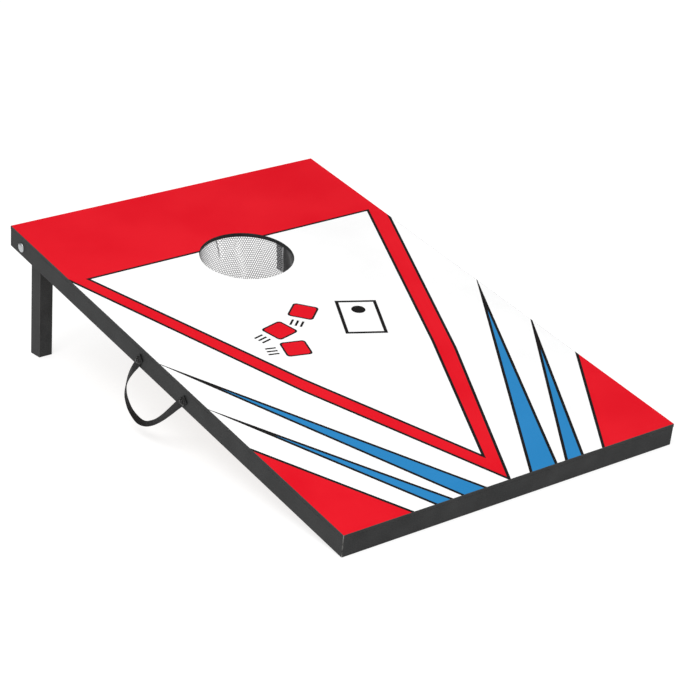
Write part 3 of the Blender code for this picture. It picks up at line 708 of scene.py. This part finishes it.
def settled(helper):
    """The mesh of a helper with its modifiers worked in; the helper is then removed."""
    shape = bmesh.new()
    shape.from_object(helper, bpy.context.evaluated_depsgraph_get())
    bpy.data.objects.remove(helper)
    return shape


def melted(shape, voxel, smoothing):
    """One closed skin round everything in a shape, with its creases filled and softened."""
    helper = loose_object("melting", shape)
    remesh = helper.modifiers.new("skin", "REMESH")
    remesh.mode = "VOXEL"
    remesh.voxel_size = voxel
    smooth = helper.modifiers.new("soften", "SMOOTH")
    smooth.factor = 0.5
    smooth.iterations = smoothing
    return settled(helper)


def cut_away(shape, cutter):
    """A shape less its cutter."""
    cutting = loose_object("cutting", cutter)
    helper = loose_object("being_cut", shape)
    boolean = helper.modifiers.new("cut", "BOOLEAN")
    boolean.operation = "DIFFERENCE"
    boolean.solver = "EXACT"
    boolean.object = cutting
    shape = settled(helper)
    bpy.data.objects.remove(cutting)
    return shape


def plated_steel(name, bright, dull, roughness):
    """Plated metal: cloudy passivation, fine scratches and dark spots where the plating is thin."""
    material, tree, shader = new_finish(name)
    place = place_on_board(tree)
    cloud = grain_noise(tree, place, 420.0, detail=4.0)
    scratch = grain_noise(tree, place, 1600.0, (1, 0.06, 1), detail=2.0)
    pits = grain_noise(tree, place, 2100.0, detail=1.0)
    colour = blend_colours(tree, fade(tree, cloud, 0.35, 0.7), bright, dull)
    colour = blend_colours(
        tree, fade(tree, pits, 0.70, 0.82, 0.0, 0.35), colour, tuple(c * 0.35 for c in dull)
    )
    tree.links.new(colour, shader.inputs["Base Color"])
    shader.inputs["Metallic"].default_value = 1.0
    worn = fade(tree, scratch, 0.35, 0.7, roughness - 0.07, roughness + 0.08)
    tree.links.new(worn, shader.inputs["Roughness"])
    height = reckon(tree, "MULTIPLY_ADD", scratch, 0.5, reckon(tree, "MULTIPLY", cloud, 0.5))
    bump(tree, shader, height, 0.08, 0.0001)
    return material


def moulded_nylon(name):
    """Black nylon with a fine spark-eroded texture, greyer where it is scuffed."""
    material, tree, shader = new_finish(name)
    place = place_on_board(tree)
    tooth = grain_noise(tree, place, 2600.0, detail=2.0)
    scuff = grain_noise(tree, place, 300.0, detail=3.0)
    colour = blend_colours(tree, fade(tree, scuff, 0.45, 0.75), (0.012, 0.012, 0.013), (0.034, 0.034, 0.036))
    tree.links.new(colour, shader.inputs["Base Color"])
    tree.links.new(fade(tree, tooth, 0.3, 0.7, 0.38, 0.52), shader.inputs["Roughness"])
    bump(tree, shader, tooth, 0.25, 0.0001)
    return material


zinc = plated_steel("zinc_plate", (0.50, 0.52, 0.53), (0.39, 0.41, 0.42), 0.36)
black_nylon = moulded_nylon("black_nylon_spacer")
for side, inward in (("left", 1), ("right", -1)):
    low, high = board_box(side + "_pivot_bolt")
    _, pivot_y, pivot_z = (low + high) / 2
    along = Matrix.Rotation(inward * math.pi / 2, 4, "Y")
    bolt = bolt_shape(board_width / 2 - min(abs(low.x), abs(high.x)))
    start = Matrix.Translation((-inward * board_width / 2, pivot_y, pivot_z)) @ along
    bmesh.ops.transform(bolt, matrix=start, verts=bolt.verts)
    finish_piece(
        side + "_carriage_bolt", bolt, [zinc], replaces=[side + "_pivot_bolt"], smooth=True
    )
    low, high = board_box(side + "_wing_nut")
    seat = low.x if inward > 0 else high.x
    nut = wing_nut_shape()
    start = Matrix.Translation((seat, pivot_y, pivot_z)) @ along
    bmesh.ops.transform(nut, matrix=start, verts=nut.verts)
    finish_piece(
        side + "_cast_wing_nut",
        nut,
        [zinc],
        body=side + "_nut",
        replaces=[side + "_wing_nut"],
        smooth=True,
    )
    frame["nodes"][side + "_leg_washer"].data.materials[0] = zinc
    frame["nodes"][side + "_leg_spacer"].data.materials[0] = black_nylon

# ---------------------------------------------------------------------------------------------------------
# The carrying strap: one length of 12 mm black polypropylene webbing, its heat-cut ends turned up on the left
# rail, each held by a pan-head screw through a cup washer. It hangs in a slack loop that has taken a twist.
# ---------------------------------------------------------------------------------------------------------
STRAP_WIDTH = 0.012
STRAP_THICKNESS = 0.0016
STRAP_SPAN = 0.120
STRAP_DROP = 0.092
STRAP_SCREW_HEIGHT = 0.0118
STRAP_FRONT_SCREW = fold_from_front - STRAP_SPAN / 2
STRAP_STEPS = 6
CORD_PITCH = 0.00125
PICK_PITCH = 0.00150
# Stations along the webbing: share of the way from front screw to rear one, share of the drop, how far
# it stands off the rail, and its twist in degrees.
STRAP_ROUTE = [
    (-0.055, -0.075, 0.0011, 0),
    (0.000, 0.000, 0.0011, 0),
    (0.085, 0.118, 0.0018, 7),
    (0.250, 0.370, 0.0030, 22),
    (0.383, 0.563, 0.0036, 34),
    (0.540, 0.761, 0.0042, 48),
    (0.690, 0.905, 0.0046, 62),
    (0.830, 0.991, 0.0050, 84),
    (0.960, 1.000, 0.0052, 104),
    (1.103, 0.937, 0.0056, 124),
    (1.195, 0.801, 0.0058, 136),
    (1.215, 0.670, 0.0058, 141),
    (1.191, 0.518, 0.0058, 146),
    (1.146, 0.368, 0.0056, 152),
    (1.084, 0.213, 0.0042, 163),
    (1.030, 0.084, 0.0016, 177),
    (1.000, 0.000, 0.0011, 180),
    (0.950, -0.080, 0.0011, 180),
]


def smooth_route(stations, steps):
    """Stations on a Catmull-Rom curve through the given ones."""
    rows = [stations[0]] + list(stations) + [stations[-1]]
    route = []
    for index in range(1, len(rows) - 2):
        before, start, end, after = rows[index - 1 : index + 3]
        for step in range(steps):
            share = step / steps
            route.append(
                tuple(
                    0.5
                    * (
                        2 * b
                        + (c - a) * share
                        + (2 * a - 5 * b + 4 * c - d) * share**2
                        + (3 * b - a - 3 * c + d) * share**3
                    )
                    for a, b, c, d in zip(before, start, end, after)
                )
            )
    return route + [stations[-1]]


def webbing_section():
    """The webbing's section as shares of (half width, half thickness), thinner towards its selvedges."""
    columns = 16
    upper = []
    for column in range(columns + 1):
        across = -1 + 2 * column / columns
        upper.append((across * 0.985, 1.0 - 0.30 * abs(across) ** 6))
    return upper + [(1.0, 0.0)] + [(a, -b) for a, b in reversed(upper)] + [(-1.0, 0.0)]


def strap_stations():
    """Middle, across and out directions of the webbing at each station."""
    spots = []
    for along, drop, off, twist in smooth_route(STRAP_ROUTE, STRAP_STEPS):
        y = STRAP_FRONT_SCREW + along * STRAP_SPAN
        z = STRAP_SCREW_HEIGHT - drop * STRAP_DROP
        spots.append((Vector((-board_width / 2 - off, y, z)), math.radians(twist)))
    stations = []
    for index, (middle, twist) in enumerate(spots):
        before = spots[max(0, index - 1)][0]
        after = spots[min(len(spots) - 1, index + 1)][0]
        run = (after - before).normalized()
        flat = Vector((1, 0, 0)).cross(run).normalized()
        across = Matrix.Rotation(twist, 3, run) @ flat
        stations.append((middle, across, run.cross(across).normalized()))
    return stations


def strap_shape():
    """The webbing laid along its route, with its width and run kept in metres for the weave."""
    shape = bmesh.new()
    weave = shape.loops.layers.uv.new("weave")
    section = webbing_section()
    rings = []
    lengths = []
    run = 0.0
    stations = strap_stations()
    for index, (middle, across, out) in enumerate(stations):
        if index:
            run += (middle - stations[index - 1][0]).length
        lengths.append(run)
        ring = []
        for a, b in section:
            ring.append(shape.verts.new(
                middle + across * a * STRAP_WIDTH / 2 + out * b * STRAP_THICKNESS / 2
            ))
        rings.append(ring)
    count = len(section)
    for row, (lower, upper) in enumerate(zip(rings, rings[1:])):
        for column in range(count):
            other = (column + 1) % count
            face = shape.faces.new((lower[column], lower[other], upper[other], upper[column]))
            spots = ((column, row), (other, row), (other, row + 1), (column, row + 1))
            for corner, (c, r) in zip(face.loops, spots):
                corner[weave].uv = (section[c][0] * STRAP_WIDTH / 2, lengths[r])
    shape.faces.new(rings[0])
    shape.faces.new(rings[-1])
    bmesh.ops.recalc_face_normals(shape, faces=shape.faces)
    return shape


def woven_strap():
    """Plain-woven black webbing: cords along it, crossed by picks, each row shifted against the last."""
    material, tree, shader = new_finish("woven_webbing")
    uv = add_node(tree, "UVMap", uv_map="weave").outputs[0]
    across, along, _ = add_node(tree, "SeparateXYZ", {0: uv}).outputs
    cords = reckon(tree, "SINE", reckon(tree, "MULTIPLY", across, math.tau / CORD_PITCH))
    picks = reckon(tree, "SINE", reckon(tree, "MULTIPLY", along, math.tau / PICK_PITCH))
    weave = reckon(tree, "MULTIPLY", cords, picks)
    ribs = reckon(
        tree, "ABSOLUTE", reckon(tree, "SINE", reckon(tree, "MULTIPLY", across, math.pi / CORD_PITCH))
    )
    height = reckon(tree, "MULTIPLY_ADD", weave, 0.5, ribs)
    fuzz = grain_noise(tree, uv, 3000.0, detail=2.0)
    fade_cloud = grain_noise(tree, uv, 60.0, detail=3.0)
    # Painted shade in the weave: its colour follows the relief, the hollows darker and the raised cords
    # paler.
    colour = blend_colours(tree, fade(tree, height, 0.1, 1.3), (0.003, 0.003, 0.0032), (0.010, 0.010, 0.0105))
    share = reckon(tree, "MULTIPLY", fade(tree, fade_cloud, 0.4, 0.8), fade(tree, fuzz, 0.4, 0.7))
    colour = blend_colours(tree, reckon(tree, "MULTIPLY", share, 0.5), colour, (0.024, 0.024, 0.025))
    tree.links.new(colour, shader.inputs["Base Color"])
    tree.links.new(fade(tree, fuzz, 0.3, 0.7, 0.62, 0.8), shader.inputs["Roughness"])
    shader.inputs["Specular IOR Level"].default_value = 0.25
    shader.inputs["Sheen Weight"].default_value = 0.06
    shader.inputs["Sheen Roughness"].default_value = 0.4
    bump(tree, shader, height, 0.55, 0.0003)
    return material


def cross_recess():
    """The cutter for a cross recess: two tapering blades that meet on the Z axis, up from below 0."""
    cutter = bmesh.new()
    for turn in (0, math.pi / 2):
        made = bmesh.ops.create_cube(cutter, size=1.0)["verts"]
        for vertex in made:
            deep = vertex.co.z > 0
            vertex.co.x *= 0.0022 if deep else 0.0050
            vertex.co.y *= 0.0006 if deep else 0.0009
            vertex.co.z = 0.0 if deep else -0.0040
        spin = Matrix.Translation((0, 0, -0.0006)) @ Matrix.Rotation(turn, 4, "Z")
        bmesh.ops.transform(cutter, matrix=spin, verts=made)
    bmesh.ops.recalc_face_normals(cutter, faces=cutter.faces)
    helper = loose_object("recess", cutter)
    remesh = helper.modifiers.new("join", "REMESH")
    remesh.mode = "VOXEL"
    remesh.voxel_size = 0.00012
    return settled(helper)


def pan_screw_shape(head_radius, head_height, length):
    """A pan-head wood screw along Z: its head with a cross recess below 0, its tapering shank above."""
    shape = bmesh.new()
    steps = 10
    dome = []
    for step in range(steps + 1):
        turn = math.pi / 2 * step / steps
        dome.append((head_radius * math.sin(turn), -0.0005 - (head_height - 0.0005) * math.cos(turn)))
    lathe(shape, dome + [(head_radius, 0), (0.0019, 0), (0.0017, length - 0.004), (0, length)])
    return cut_away(shape, cross_recess())


def blackened_steel():
    """Black-oxide steel, browner in clouds and polished where a driver has turned."""
    material, tree, shader = new_finish("black_oxide_steel")
    place = place_on_board(tree)
    cloud = grain_noise(tree, place, 500.0, detail=3.0)
    scratch = grain_noise(tree, place, 2400.0, (1, 0.2, 1), detail=2.0)
    colour = blend_colours(tree, fade(tree, cloud, 0.35, 0.7), (0.022, 0.022, 0.023), (0.050, 0.048, 0.046))
    colour = blend_colours(tree, fade(tree, scratch, 0.66, 0.78, 0.0, 0.8), colour, (0.30, 0.30, 0.31))
    tree.links.new(colour, shader.inputs["Base Color"])
    shader.inputs["Metallic"].default_value = 0.85
    tree.links.new(fade(tree, scratch, 0.3, 0.7, 0.26, 0.42), shader.inputs["Roughness"])
    bump(tree, shader, cloud, 0.15, 0.0001)
    return material


strap = finish_piece(
    "webbing_strap",
    strap_shape(),
    [woven_strap()],
    body=None,
    replaces=["strap_loop", "strap_front_end", "strap_rear_end"],
    smooth=True,
)
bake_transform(strap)
black_steel = blackened_steel()
for end in ("front", "rear"):
    low, high = board_box("strap_" + end + "_screw")
    screw = pan_screw_shape((high.z - low.z) / 2, 0.0024, high.x - low.x - 0.0027)
    seat = Vector((low.x + 0.0027, (low.y + high.y) / 2, (low.z + high.z) / 2))
    start = Matrix.Translation(seat) @ Matrix.Rotation(math.pi / 2, 4, "Y")
    bmesh.ops.transform(screw, matrix=start @ Matrix.Rotation(0.5, 4, "Z"), verts=screw.verts)
    finish_piece(
        "strap_" + end + "_pan_screw",
        screw,
        [black_steel],
        replaces=["strap_" + end + "_screw"],
        smooth=True,
    )
    frame["nodes"]["strap_" + end + "_washer"].data.materials[0] = black_steel

# ---------------------------------------------------------------------------------------------------------
# The net bag's binding: a flat black tape sewn round the net's mouth, stapled under the deck, and two broad
# black strips that hang inside and outside the upper half of the net's right side.
# ---------------------------------------------------------------------------------------------------------
HEM_INNER = HOLE_RADIUS + 0.0003
HEM_OUTER = 0.0855
HEM_THICKNESS = 0.0012
NET_MOUTH = 0.0750
NET_DEPTH = 0.0950
NET_TOP = deck_bottom - 0.0003 - HEM_THICKNESS
# Share of the bag's depth and of its mouth's radius, from the mouth down to where the net is gathered in.
NET_PROFILE = [
    (0.0, 1.0),
    (0.16, 0.99),
    (0.42, 0.96),
    (0.66, 0.87),
    (0.83, 0.70),
    (0.94, 0.45),
    (0.985, 0.20),
    (1.0, 0.05),
]
PLUMB = Vector((0, -math.sin(tilt), -math.cos(tilt)))
PLEATS = 13
PLEAT_DEPTH = 0.0035
# The folds that the net has taken: top and bottom as (degrees round the hole, metres down), and height.
NET_FOLDS = [((94.0, -0.009), (90.5, 0.022), 0.0058), ((70.0, 0.020), (64.0, 0.052), 0.0060)]


def along_profile():
    """The bag's side as points of (drop, radius) with the length of net from the mouth down to each."""
    smooth = smooth_route([(share, reach) for share, reach in NET_PROFILE], 8)
    points = [(share * NET_DEPTH, reach * NET_MOUTH) for share, reach in smooth]
    lengths = [0.0]
    for (drop, radius), (next_drop, next_radius) in zip(points, points[1:]):
        lengths.append(lengths[-1] + math.hypot(next_drop - drop, next_radius - radius))
    return points, lengths


net_side, net_lengths = along_profile()
net_length = net_lengths[-1]


def on_profile(run):
    """Drop and radius of the bag's side at a length of net from its mouth."""
    for (start, end), (low, high) in zip(zip(net_lengths, net_lengths[1:]), zip(net_side, net_side[1:])):
        if run <= end:
            share = (run - start) / (end - start)
            return tuple(a + (b - a) * share for a, b in zip(low, high))
    return net_side[-1]


def fold_rise(turn, drop):
    """How far a fold or ripple pushes the net outward at an angle round the hole and a drop."""
    rise = 0.0
    for (top_turn, top), (low_turn, low), height in NET_FOLDS:
        share = min(1.0, max(0.0, (drop - top) / (low - top)))
        middle = math.radians(top_turn + (low_turn - top_turn) * share)
        off = math.remainder(turn - middle, math.tau) * NET_MOUTH
        fading = max(0.0, 1 - (max(0.0, top - drop, drop - low) / 0.014) ** 2)
        rise += height * fading * math.exp(-((off / 0.0034) ** 2))
    slack = min(1.0, max(0.0, drop / NET_DEPTH)) ** 1.5
    ripple = 0.0018 * math.sin(5 * turn + 0.6) + 0.0013 * math.sin(9 * turn + 2.1 + drop * 20)
    soft = noise.noise(Vector((2.1 * math.cos(turn), 2.1 * math.sin(turn), drop * 22)))
    return rise + slack * ripple + min(1.0, drop / 0.02) * 0.0016 * soft


def pleat(turn, radius):
    """How far the gathered net stands in or out where there is more of it than the bag's girth needs."""
    share = min(1.0, max(0.0, (1 - radius / NET_MOUTH) / 0.45))
    depth = min(PLEAT_DEPTH * share * share * (3 - 2 * share), 0.45 * radius)
    return depth * math.sin(PLEATS * turn + 1.3 * math.sin(2 * turn))


def net_point(turn, run, out=0.0):
    """A point of the net, at an angle round the hole and a length of net down from its mouth."""
    drop, radius = on_profile(run)
    tightness = min(1.0, radius / (0.35 * NET_MOUTH))
    radius += (fold_rise(turn, drop) + out) * tightness + pleat(turn, radius)
    middle = Vector((0, HOLE_MIDDLE, NET_TOP)) + PLUMB * drop
    return middle + Vector((radius * math.cos(turn), radius * math.sin(turn), 0))


def strip_shape(start, end, length, out, thickness, columns, rows, sway):
    """A strip down the net's side from its mouth, standing off it, with a softly wavy edge."""
    shape = bmesh.new()
    weave = shape.loops.layers.uv.new("weave")
    skins = []
    for skin in (-1, 1):
        grid = []
        for row in range(rows + 1):
            down = length * row / rows
            line = []
            for column in range(columns + 1):
                share = column / columns
                wave = sway * math.sin(7.0 * share + 2.0) * (row / rows) ** 2
                turn = math.radians(start + (end - start) * share) + 0.6 * wave
                flutter = 0.35 * sway * NET_MOUTH * math.sin(9 * share + 5 * row / rows)
                spot = net_point(turn, down + wave * NET_MOUTH * 0.5, out + flutter + skin * thickness / 2)
                line.append(shape.verts.new(spot))
            grid.append(line)
        skins.append(grid)
    width = math.radians(end - start) * NET_MOUTH
    inner, outer = skins
    for row in range(rows):
        for column in range(columns):
            for grid in skins:
                corners = [(column, row), (column + 1, row), (column + 1, row + 1), (column, row + 1)]
                face = shape.faces.new([grid[r][c] for c, r in corners])
                for loop, (c, r) in zip(face.loops, corners):
                    loop[weave].uv = (width * c / columns, length * r / rows)
    rim = [(row, 0) for row in range(rows + 1)] + [(rows, column) for column in range(1, columns + 1)]
    rim += [(row, columns) for row in range(rows - 1, -1, -1)]
    rim += [(0, column) for column in range(columns - 1, 0, -1)]
    for (row, column), (next_row, next_column) in zip(rim, rim[1:] + rim[:1]):
        corners = [inner[row][column], inner[next_row][next_column]]
        shape.faces.new(corners + [outer[next_row][next_column], outer[row][column]])
    bmesh.ops.recalc_face_normals(shape, faces=shape.faces)
    return shape


def hem_shape(sides=192):
    """The tape round the mouth: a flat ring, puckered by its stitches and slightly wavy at its outer edge."""
    shape = bmesh.new()
    weave = shape.loops.layers.uv.new("weave")
    columns = 8
    section = [(column / columns, 1) for column in range(columns + 1)]
    section += [(column / columns, 0) for column in range(columns, -1, -1)]
    rings = []
    for side in range(sides):
        turn = math.tau * side / sides
        pucker = 0.00012 * math.sin(48 * turn)
        ring = []
        for across, top in section:
            edge = 0.00035 * math.sin(11 * turn + 1.0) + 0.00025 * math.sin(23 * turn)
            radius = HEM_INNER + (HEM_OUTER - HEM_INNER + edge) * across
            seam = math.exp(-(((across - 0.72) / 0.07) ** 2)) * (0.0002 + pucker)
            height = NET_TOP + (HEM_THICKNESS if top else seam + 0.0001 * (1 - abs(2 * across - 1)))
            ring.append(shape.verts.new(
                (radius * math.cos(turn), HOLE_MIDDLE + radius * math.sin(turn), height)
            ))
        rings.append(ring)
    count = len(section)
    for side in range(sides):
        following = rings[(side + 1) % sides]
        for column in range(count):
            other = (column + 1) % count
            face = shape.faces.new(
                (rings[side][column], rings[side][other], following[other], following[column])
            )
            steps = ((column, 0), (other, 0), (other, 1), (column, 1))
            for corner, (c, s) in zip(face.loops, steps):
                across = section[c][0] * (HEM_OUTER - HEM_INNER)
                corner[weave].uv = (across, (side + s) / sides * math.tau * NET_MOUTH)
    bmesh.ops.recalc_face_normals(shape, faces=shape.faces)
    return shape


def bound_tape(name, dark, pale, seam_at, thread, thread_half=0.0003):
    """Woven polyester binding: fine twill, with a row of lockstitches at a distance across it."""
    material, tree, shader = new_finish(name)
    uv = add_node(tree, "UVMap", uv_map="weave").outputs[0]
    across, along, _ = add_node(tree, "SeparateXYZ", {0: uv}).outputs
    twill = reckon(
        tree, "ADD", reckon(tree, "MULTIPLY", across, 6500.0), reckon(tree, "MULTIPLY", along, 9000.0)
    )
    ribs = reckon(tree, "SINE", twill)
    from_seam = reckon(tree, "ABSOLUTE", reckon(tree, "SUBTRACT", across, seam_at))
    seam = fade(tree, from_seam, thread_half, 2 * thread_half, 1.0, 0.0)
    stitch = fade(tree, reckon(tree, "SINE", reckon(tree, "MULTIPLY", along, math.tau / 0.0030)), -0.9, -0.7)
    stitches = reckon(tree, "MULTIPLY", seam, stitch)
    cloud = grain_noise(tree, uv, 130.0, detail=3.0)
    height = reckon(tree, "MULTIPLY_ADD", ribs, 0.25, reckon(tree, "MULTIPLY", stitches, 2.0))
    colour = blend_colours(tree, fade(tree, cloud, 0.3, 0.75), dark, pale)
    colour = blend_colours(tree, stitches, colour, thread)
    tree.links.new(colour, shader.inputs["Base Color"])
    tree.links.new(fade(tree, cloud, 0.3, 0.7, 0.70, 0.82), shader.inputs["Roughness"])
    shader.inputs["Sheen Weight"].default_value = 0.2
    bump(tree, shader, height, 0.4, 0.0002)
    return material


TAPE_BLACK = (0.012, 0.012, 0.013)
hem_tape = bound_tape(
    "black_binding", TAPE_BLACK, (0.026, 0.026, 0.028), 0.0100, (0.06, 0.06, 0.063)
)
hem = finish_piece("mouth_binding", hem_shape(), [hem_tape], replaces=["net_hem"], smooth=True)
# Two black strips darken the net's right side down from its mouth; a pale thread line runs along the inner
# one.
for name, start, end, length, out, thread in (
    ("inner", -32, 9, 0.041, -0.0022, (0.62, 0.62, 0.63)),
    ("outer", -50, 21, 0.043, 0.0022, (0.06, 0.06, 0.063)),
):
    strip = strip_shape(start, end, length, out, 0.0008, columns=40, rows=24, sway=0.03)
    seam_at = math.radians(end - start) * NET_MOUTH - 0.0016
    tape = bound_tape(
        "dark_strip_tape_" + name, TAPE_BLACK, (0.030, 0.030, 0.032), seam_at, thread, 0.0005
    )
    finish_piece("dark_net_strip_" + name, strip, [tape], smooth=True)

# ---------------------------------------------------------------------------------------------------------
# The net bag: knitted polyester net with small six-sided holes, cut as a strip whose lower edge tapers into
# darts, rolled into a tube and drawn shut at the bottom. It hangs plumb and slack, with two soft folds.
# ---------------------------------------------------------------------------------------------------------
NET_COLUMNS = 130
NET_THREAD = 0.00125


def net_lattice():
    """Six-sided cells laid over the bag, from just above its mouth down to where it is gathered."""
    shape = bmesh.new()
    pitch = math.tau * NET_MOUTH / NET_COLUMNS
    side = pitch / math.sqrt(3)
    rows = int((net_length - 0.001) / (1.5 * side)) + 1
    levels = {}

    def knot(half_column, level):
        """The lattice point at a count of half columns round and of half sides down."""
        key = (half_column % (2 * NET_COLUMNS), level)
        if key not in levels:
            run = min(max(level * side / 2, 0.0), net_length)
            levels[key] = shape.verts.new(net_point(math.tau * key[0] / (2 * NET_COLUMNS), run))
        return levels[key]

    for row in range(rows):
        for column in range(NET_COLUMNS):
            middle = 2 * column + row % 2
            top = 3 * row
            if (top + 4) * side / 2 > net_length:
                continue
            cell = [(0, 0), (1, 1), (1, 3), (0, 4), (-1, 3), (-1, 1)]
            shape.faces.new([knot(middle + across, top + down) for across, down in cell])
    return shape


def threaded(shape, thickness):
    """A lattice's edges made into threads."""
    helper = loose_object("lattice", shape)
    wires = helper.modifiers.new("threads", "WIREFRAME")
    wires.thickness = thickness
    wires.use_even_offset = False
    wires.use_boundary = True
    shape = settled(helper)
    bmesh.ops.recalc_face_normals(shape, faces=shape.faces)
    return shape


def knitted_thread(name, pale, deep):
    """Soft grey polyester yarn: twisted plies seen as fine slanting ridges, and loose fuzz."""
    material, tree, shader = new_finish(name)
    place = place_on_board(tree)
    plies = add_node(tree, "Mapping", {"Vector": place, "Rotation": (0.5, 0.4, 0.3)})
    inputs = {"Vector": plies.outputs[0], "Scale": 2600.0, "Distortion": 1.5, "Detail": 1.0}
    ridges = add_node(tree, "TexWave", inputs).outputs["Fac"]
    fuzz = grain_noise(tree, place, 1800.0, detail=2.0)
    cloud = grain_noise(tree, place, 45.0, detail=2.0)
    # Painted shade in the yarn: its colour follows the plies' ridges, darker in the grooves between them.
    colour = blend_colours(tree, fade(tree, ridges, 0.2, 0.8), deep, pale)
    colour = blend_colours(tree, fade(tree, cloud, 0.4, 0.75, 0.0, 0.35), colour, deep)
    tree.links.new(colour, shader.inputs["Base Color"])
    tree.links.new(fade(tree, fuzz, 0.3, 0.7, 0.7, 0.85), shader.inputs["Roughness"])
    shader.inputs["Sheen Weight"].default_value = 0.3
    bump(tree, shader, ridges, 0.4, 0.0001)
    return material


net = finish_piece(
    "knitted_net_bag",
    threaded(net_lattice(), NET_THREAD),
    [knitted_thread("grey_net_thread", (0.44, 0.44, 0.45), (0.25, 0.25, 0.26))],
    replaces=["net_bag"],
    smooth=True,
)

# ---------------------------------------------------------------------------------------------------------
# The eight staples that hold the binding: galvanised wire, with flattened crowns driven flush into the tape.
# ---------------------------------------------------------------------------------------------------------
galvanised = plated_steel("galvanised_wire", (0.60, 0.61, 0.62), (0.36, 0.37, 0.385), 0.38)
for count in range(1, 9):
    frame["nodes"]["hem_staple_%d" % count].data.materials[0] = galvanised

# ---------------------------------------------------------------------------------------------------------
# The stage: a plain white floor and white surround, a broad soft light from above and in front on the
# left, and a long lens that looks down on the board from in front of its left corner.
# ---------------------------------------------------------------------------------------------------------
CAMERA_FROM_FRONT = Vector((-1.5888, -1.9870, 1.1972))
CAMERA_AZIMUTH = math.radians(-33.970)
CAMERA_ELEVATION = math.radians(21.134)
CAMERA_ROLL = math.radians(-2.209)
FLOOR_HALF = 6.0
FLOOR_GLOW = 0.76
AMBIENT = 0.86
KEY_POWER = 50.0


def white_floor():
    """Matt white paper, with the faintest mottle."""
    material, tree, shader = new_finish("white_paper")
    mottle = grain_noise(tree, place_on_board(tree), 6.0, detail=2.0)
    tree.links.new(
        blend_colours(tree, mottle, (0.32, 0.32, 0.32), (0.34, 0.34, 0.34)), shader.inputs["Base Color"]
    )
    shader.inputs["Roughness"].default_value = 0.9
    shader.inputs["Specular IOR Level"].default_value = 0.0
    shader.inputs["Emission Color"].default_value = (1.0, 1.0, 1.0, 1.0)
    shader.inputs["Emission Strength"].default_value = FLOOR_GLOW
    return material


def make_floor():
    """A level sheet of paper under the board."""
    shape = bmesh.new()
    bmesh.ops.create_grid(shape, x_segments=4, y_segments=4, size=FLOOR_HALF)
    mesh = bpy.data.meshes.new("paper_floor")
    shape.to_mesh(mesh)
    shape.free()
    mesh.materials.append(white_floor())
    floor = bpy.data.objects.new("paper_floor", mesh)
    bpy.context.scene.collection.objects.link(floor)
    floor.location.z = cad_box[0].z - 0.0002


def make_surround():
    """White light from every side, with a dark card behind the board that only its gloss mirrors."""
    world = bpy.data.worlds.new("white_room")
    bpy.context.scene.world = world
    world.use_nodes = True
    background = world.node_tree.nodes["Background"]
    background.inputs["Color"].default_value = (1.0, 1.0, 1.0, 1.0)
    tree = world.node_tree
    rays = add_node(tree, "LightPath")
    away = Vector((math.sin(-CAMERA_AZIMUTH), math.cos(CAMERA_AZIMUTH), 0))
    outward = add_node(tree, "TexCoord").outputs["Generated"]
    heading = add_node(tree, "VectorMath", {0: outward}, operation="DOT_PRODUCT")
    heading.inputs[1].default_value = away
    mirrored = fade(tree, heading.outputs["Value"], -0.2, 0.3, 0.9, 0.03)
    change = reckon(tree, "SUBTRACT", mirrored, AMBIENT)
    soft = reckon(tree, "MULTIPLY_ADD", rays.outputs["Is Glossy Ray"], change, AMBIENT)
    strength = reckon(tree, "MAXIMUM", soft, reckon(tree, "MULTIPLY", rays.outputs["Is Camera Ray"], 1.04))
    tree.links.new(strength, background.inputs["Strength"])


def add_area_light(name, place, target, size, power):
    """A square soft light that faces a target."""
    light = bpy.data.lights.new(name, "AREA")
    light.size = size
    light.energy = power
    lamp = bpy.data.objects.new(name, light)
    lamp.location = place
    lamp.rotation_euler = (place - target).to_track_quat("Z", "Y").to_euler()
    bpy.context.scene.collection.objects.link(lamp)


def add_camera():
    """The long lens at the board's front left."""
    lens = bpy.data.cameras.new("long_lens")
    lens.sensor_width = 36.0
    lens.lens = 109.86
    lens.clip_end = 50.0
    camera = bpy.data.objects.new("long_lens", lens)
    turn = Matrix.Rotation(CAMERA_AZIMUTH, 4, "Z") @ Matrix.Rotation(math.pi / 2 - CAMERA_ELEVATION, 4, "X")
    turn = turn @ Matrix.Rotation(CAMERA_ROLL, 4, "Z")
    camera.matrix_world = Matrix.Translation(front_middle + CAMERA_FROM_FRONT) @ turn
    bpy.context.scene.collection.objects.link(camera)
    bpy.context.scene.camera = camera


board_middle = (cad_box[0] + cad_box[1]) / 2
make_floor()
make_surround()
add_area_light("key_light", board_middle + Vector((-1.6, -1.2, 2.8)), board_middle, 1.6, KEY_POWER)
add_camera()
bpy.context.scene.view_settings.view_transform = "Standard"
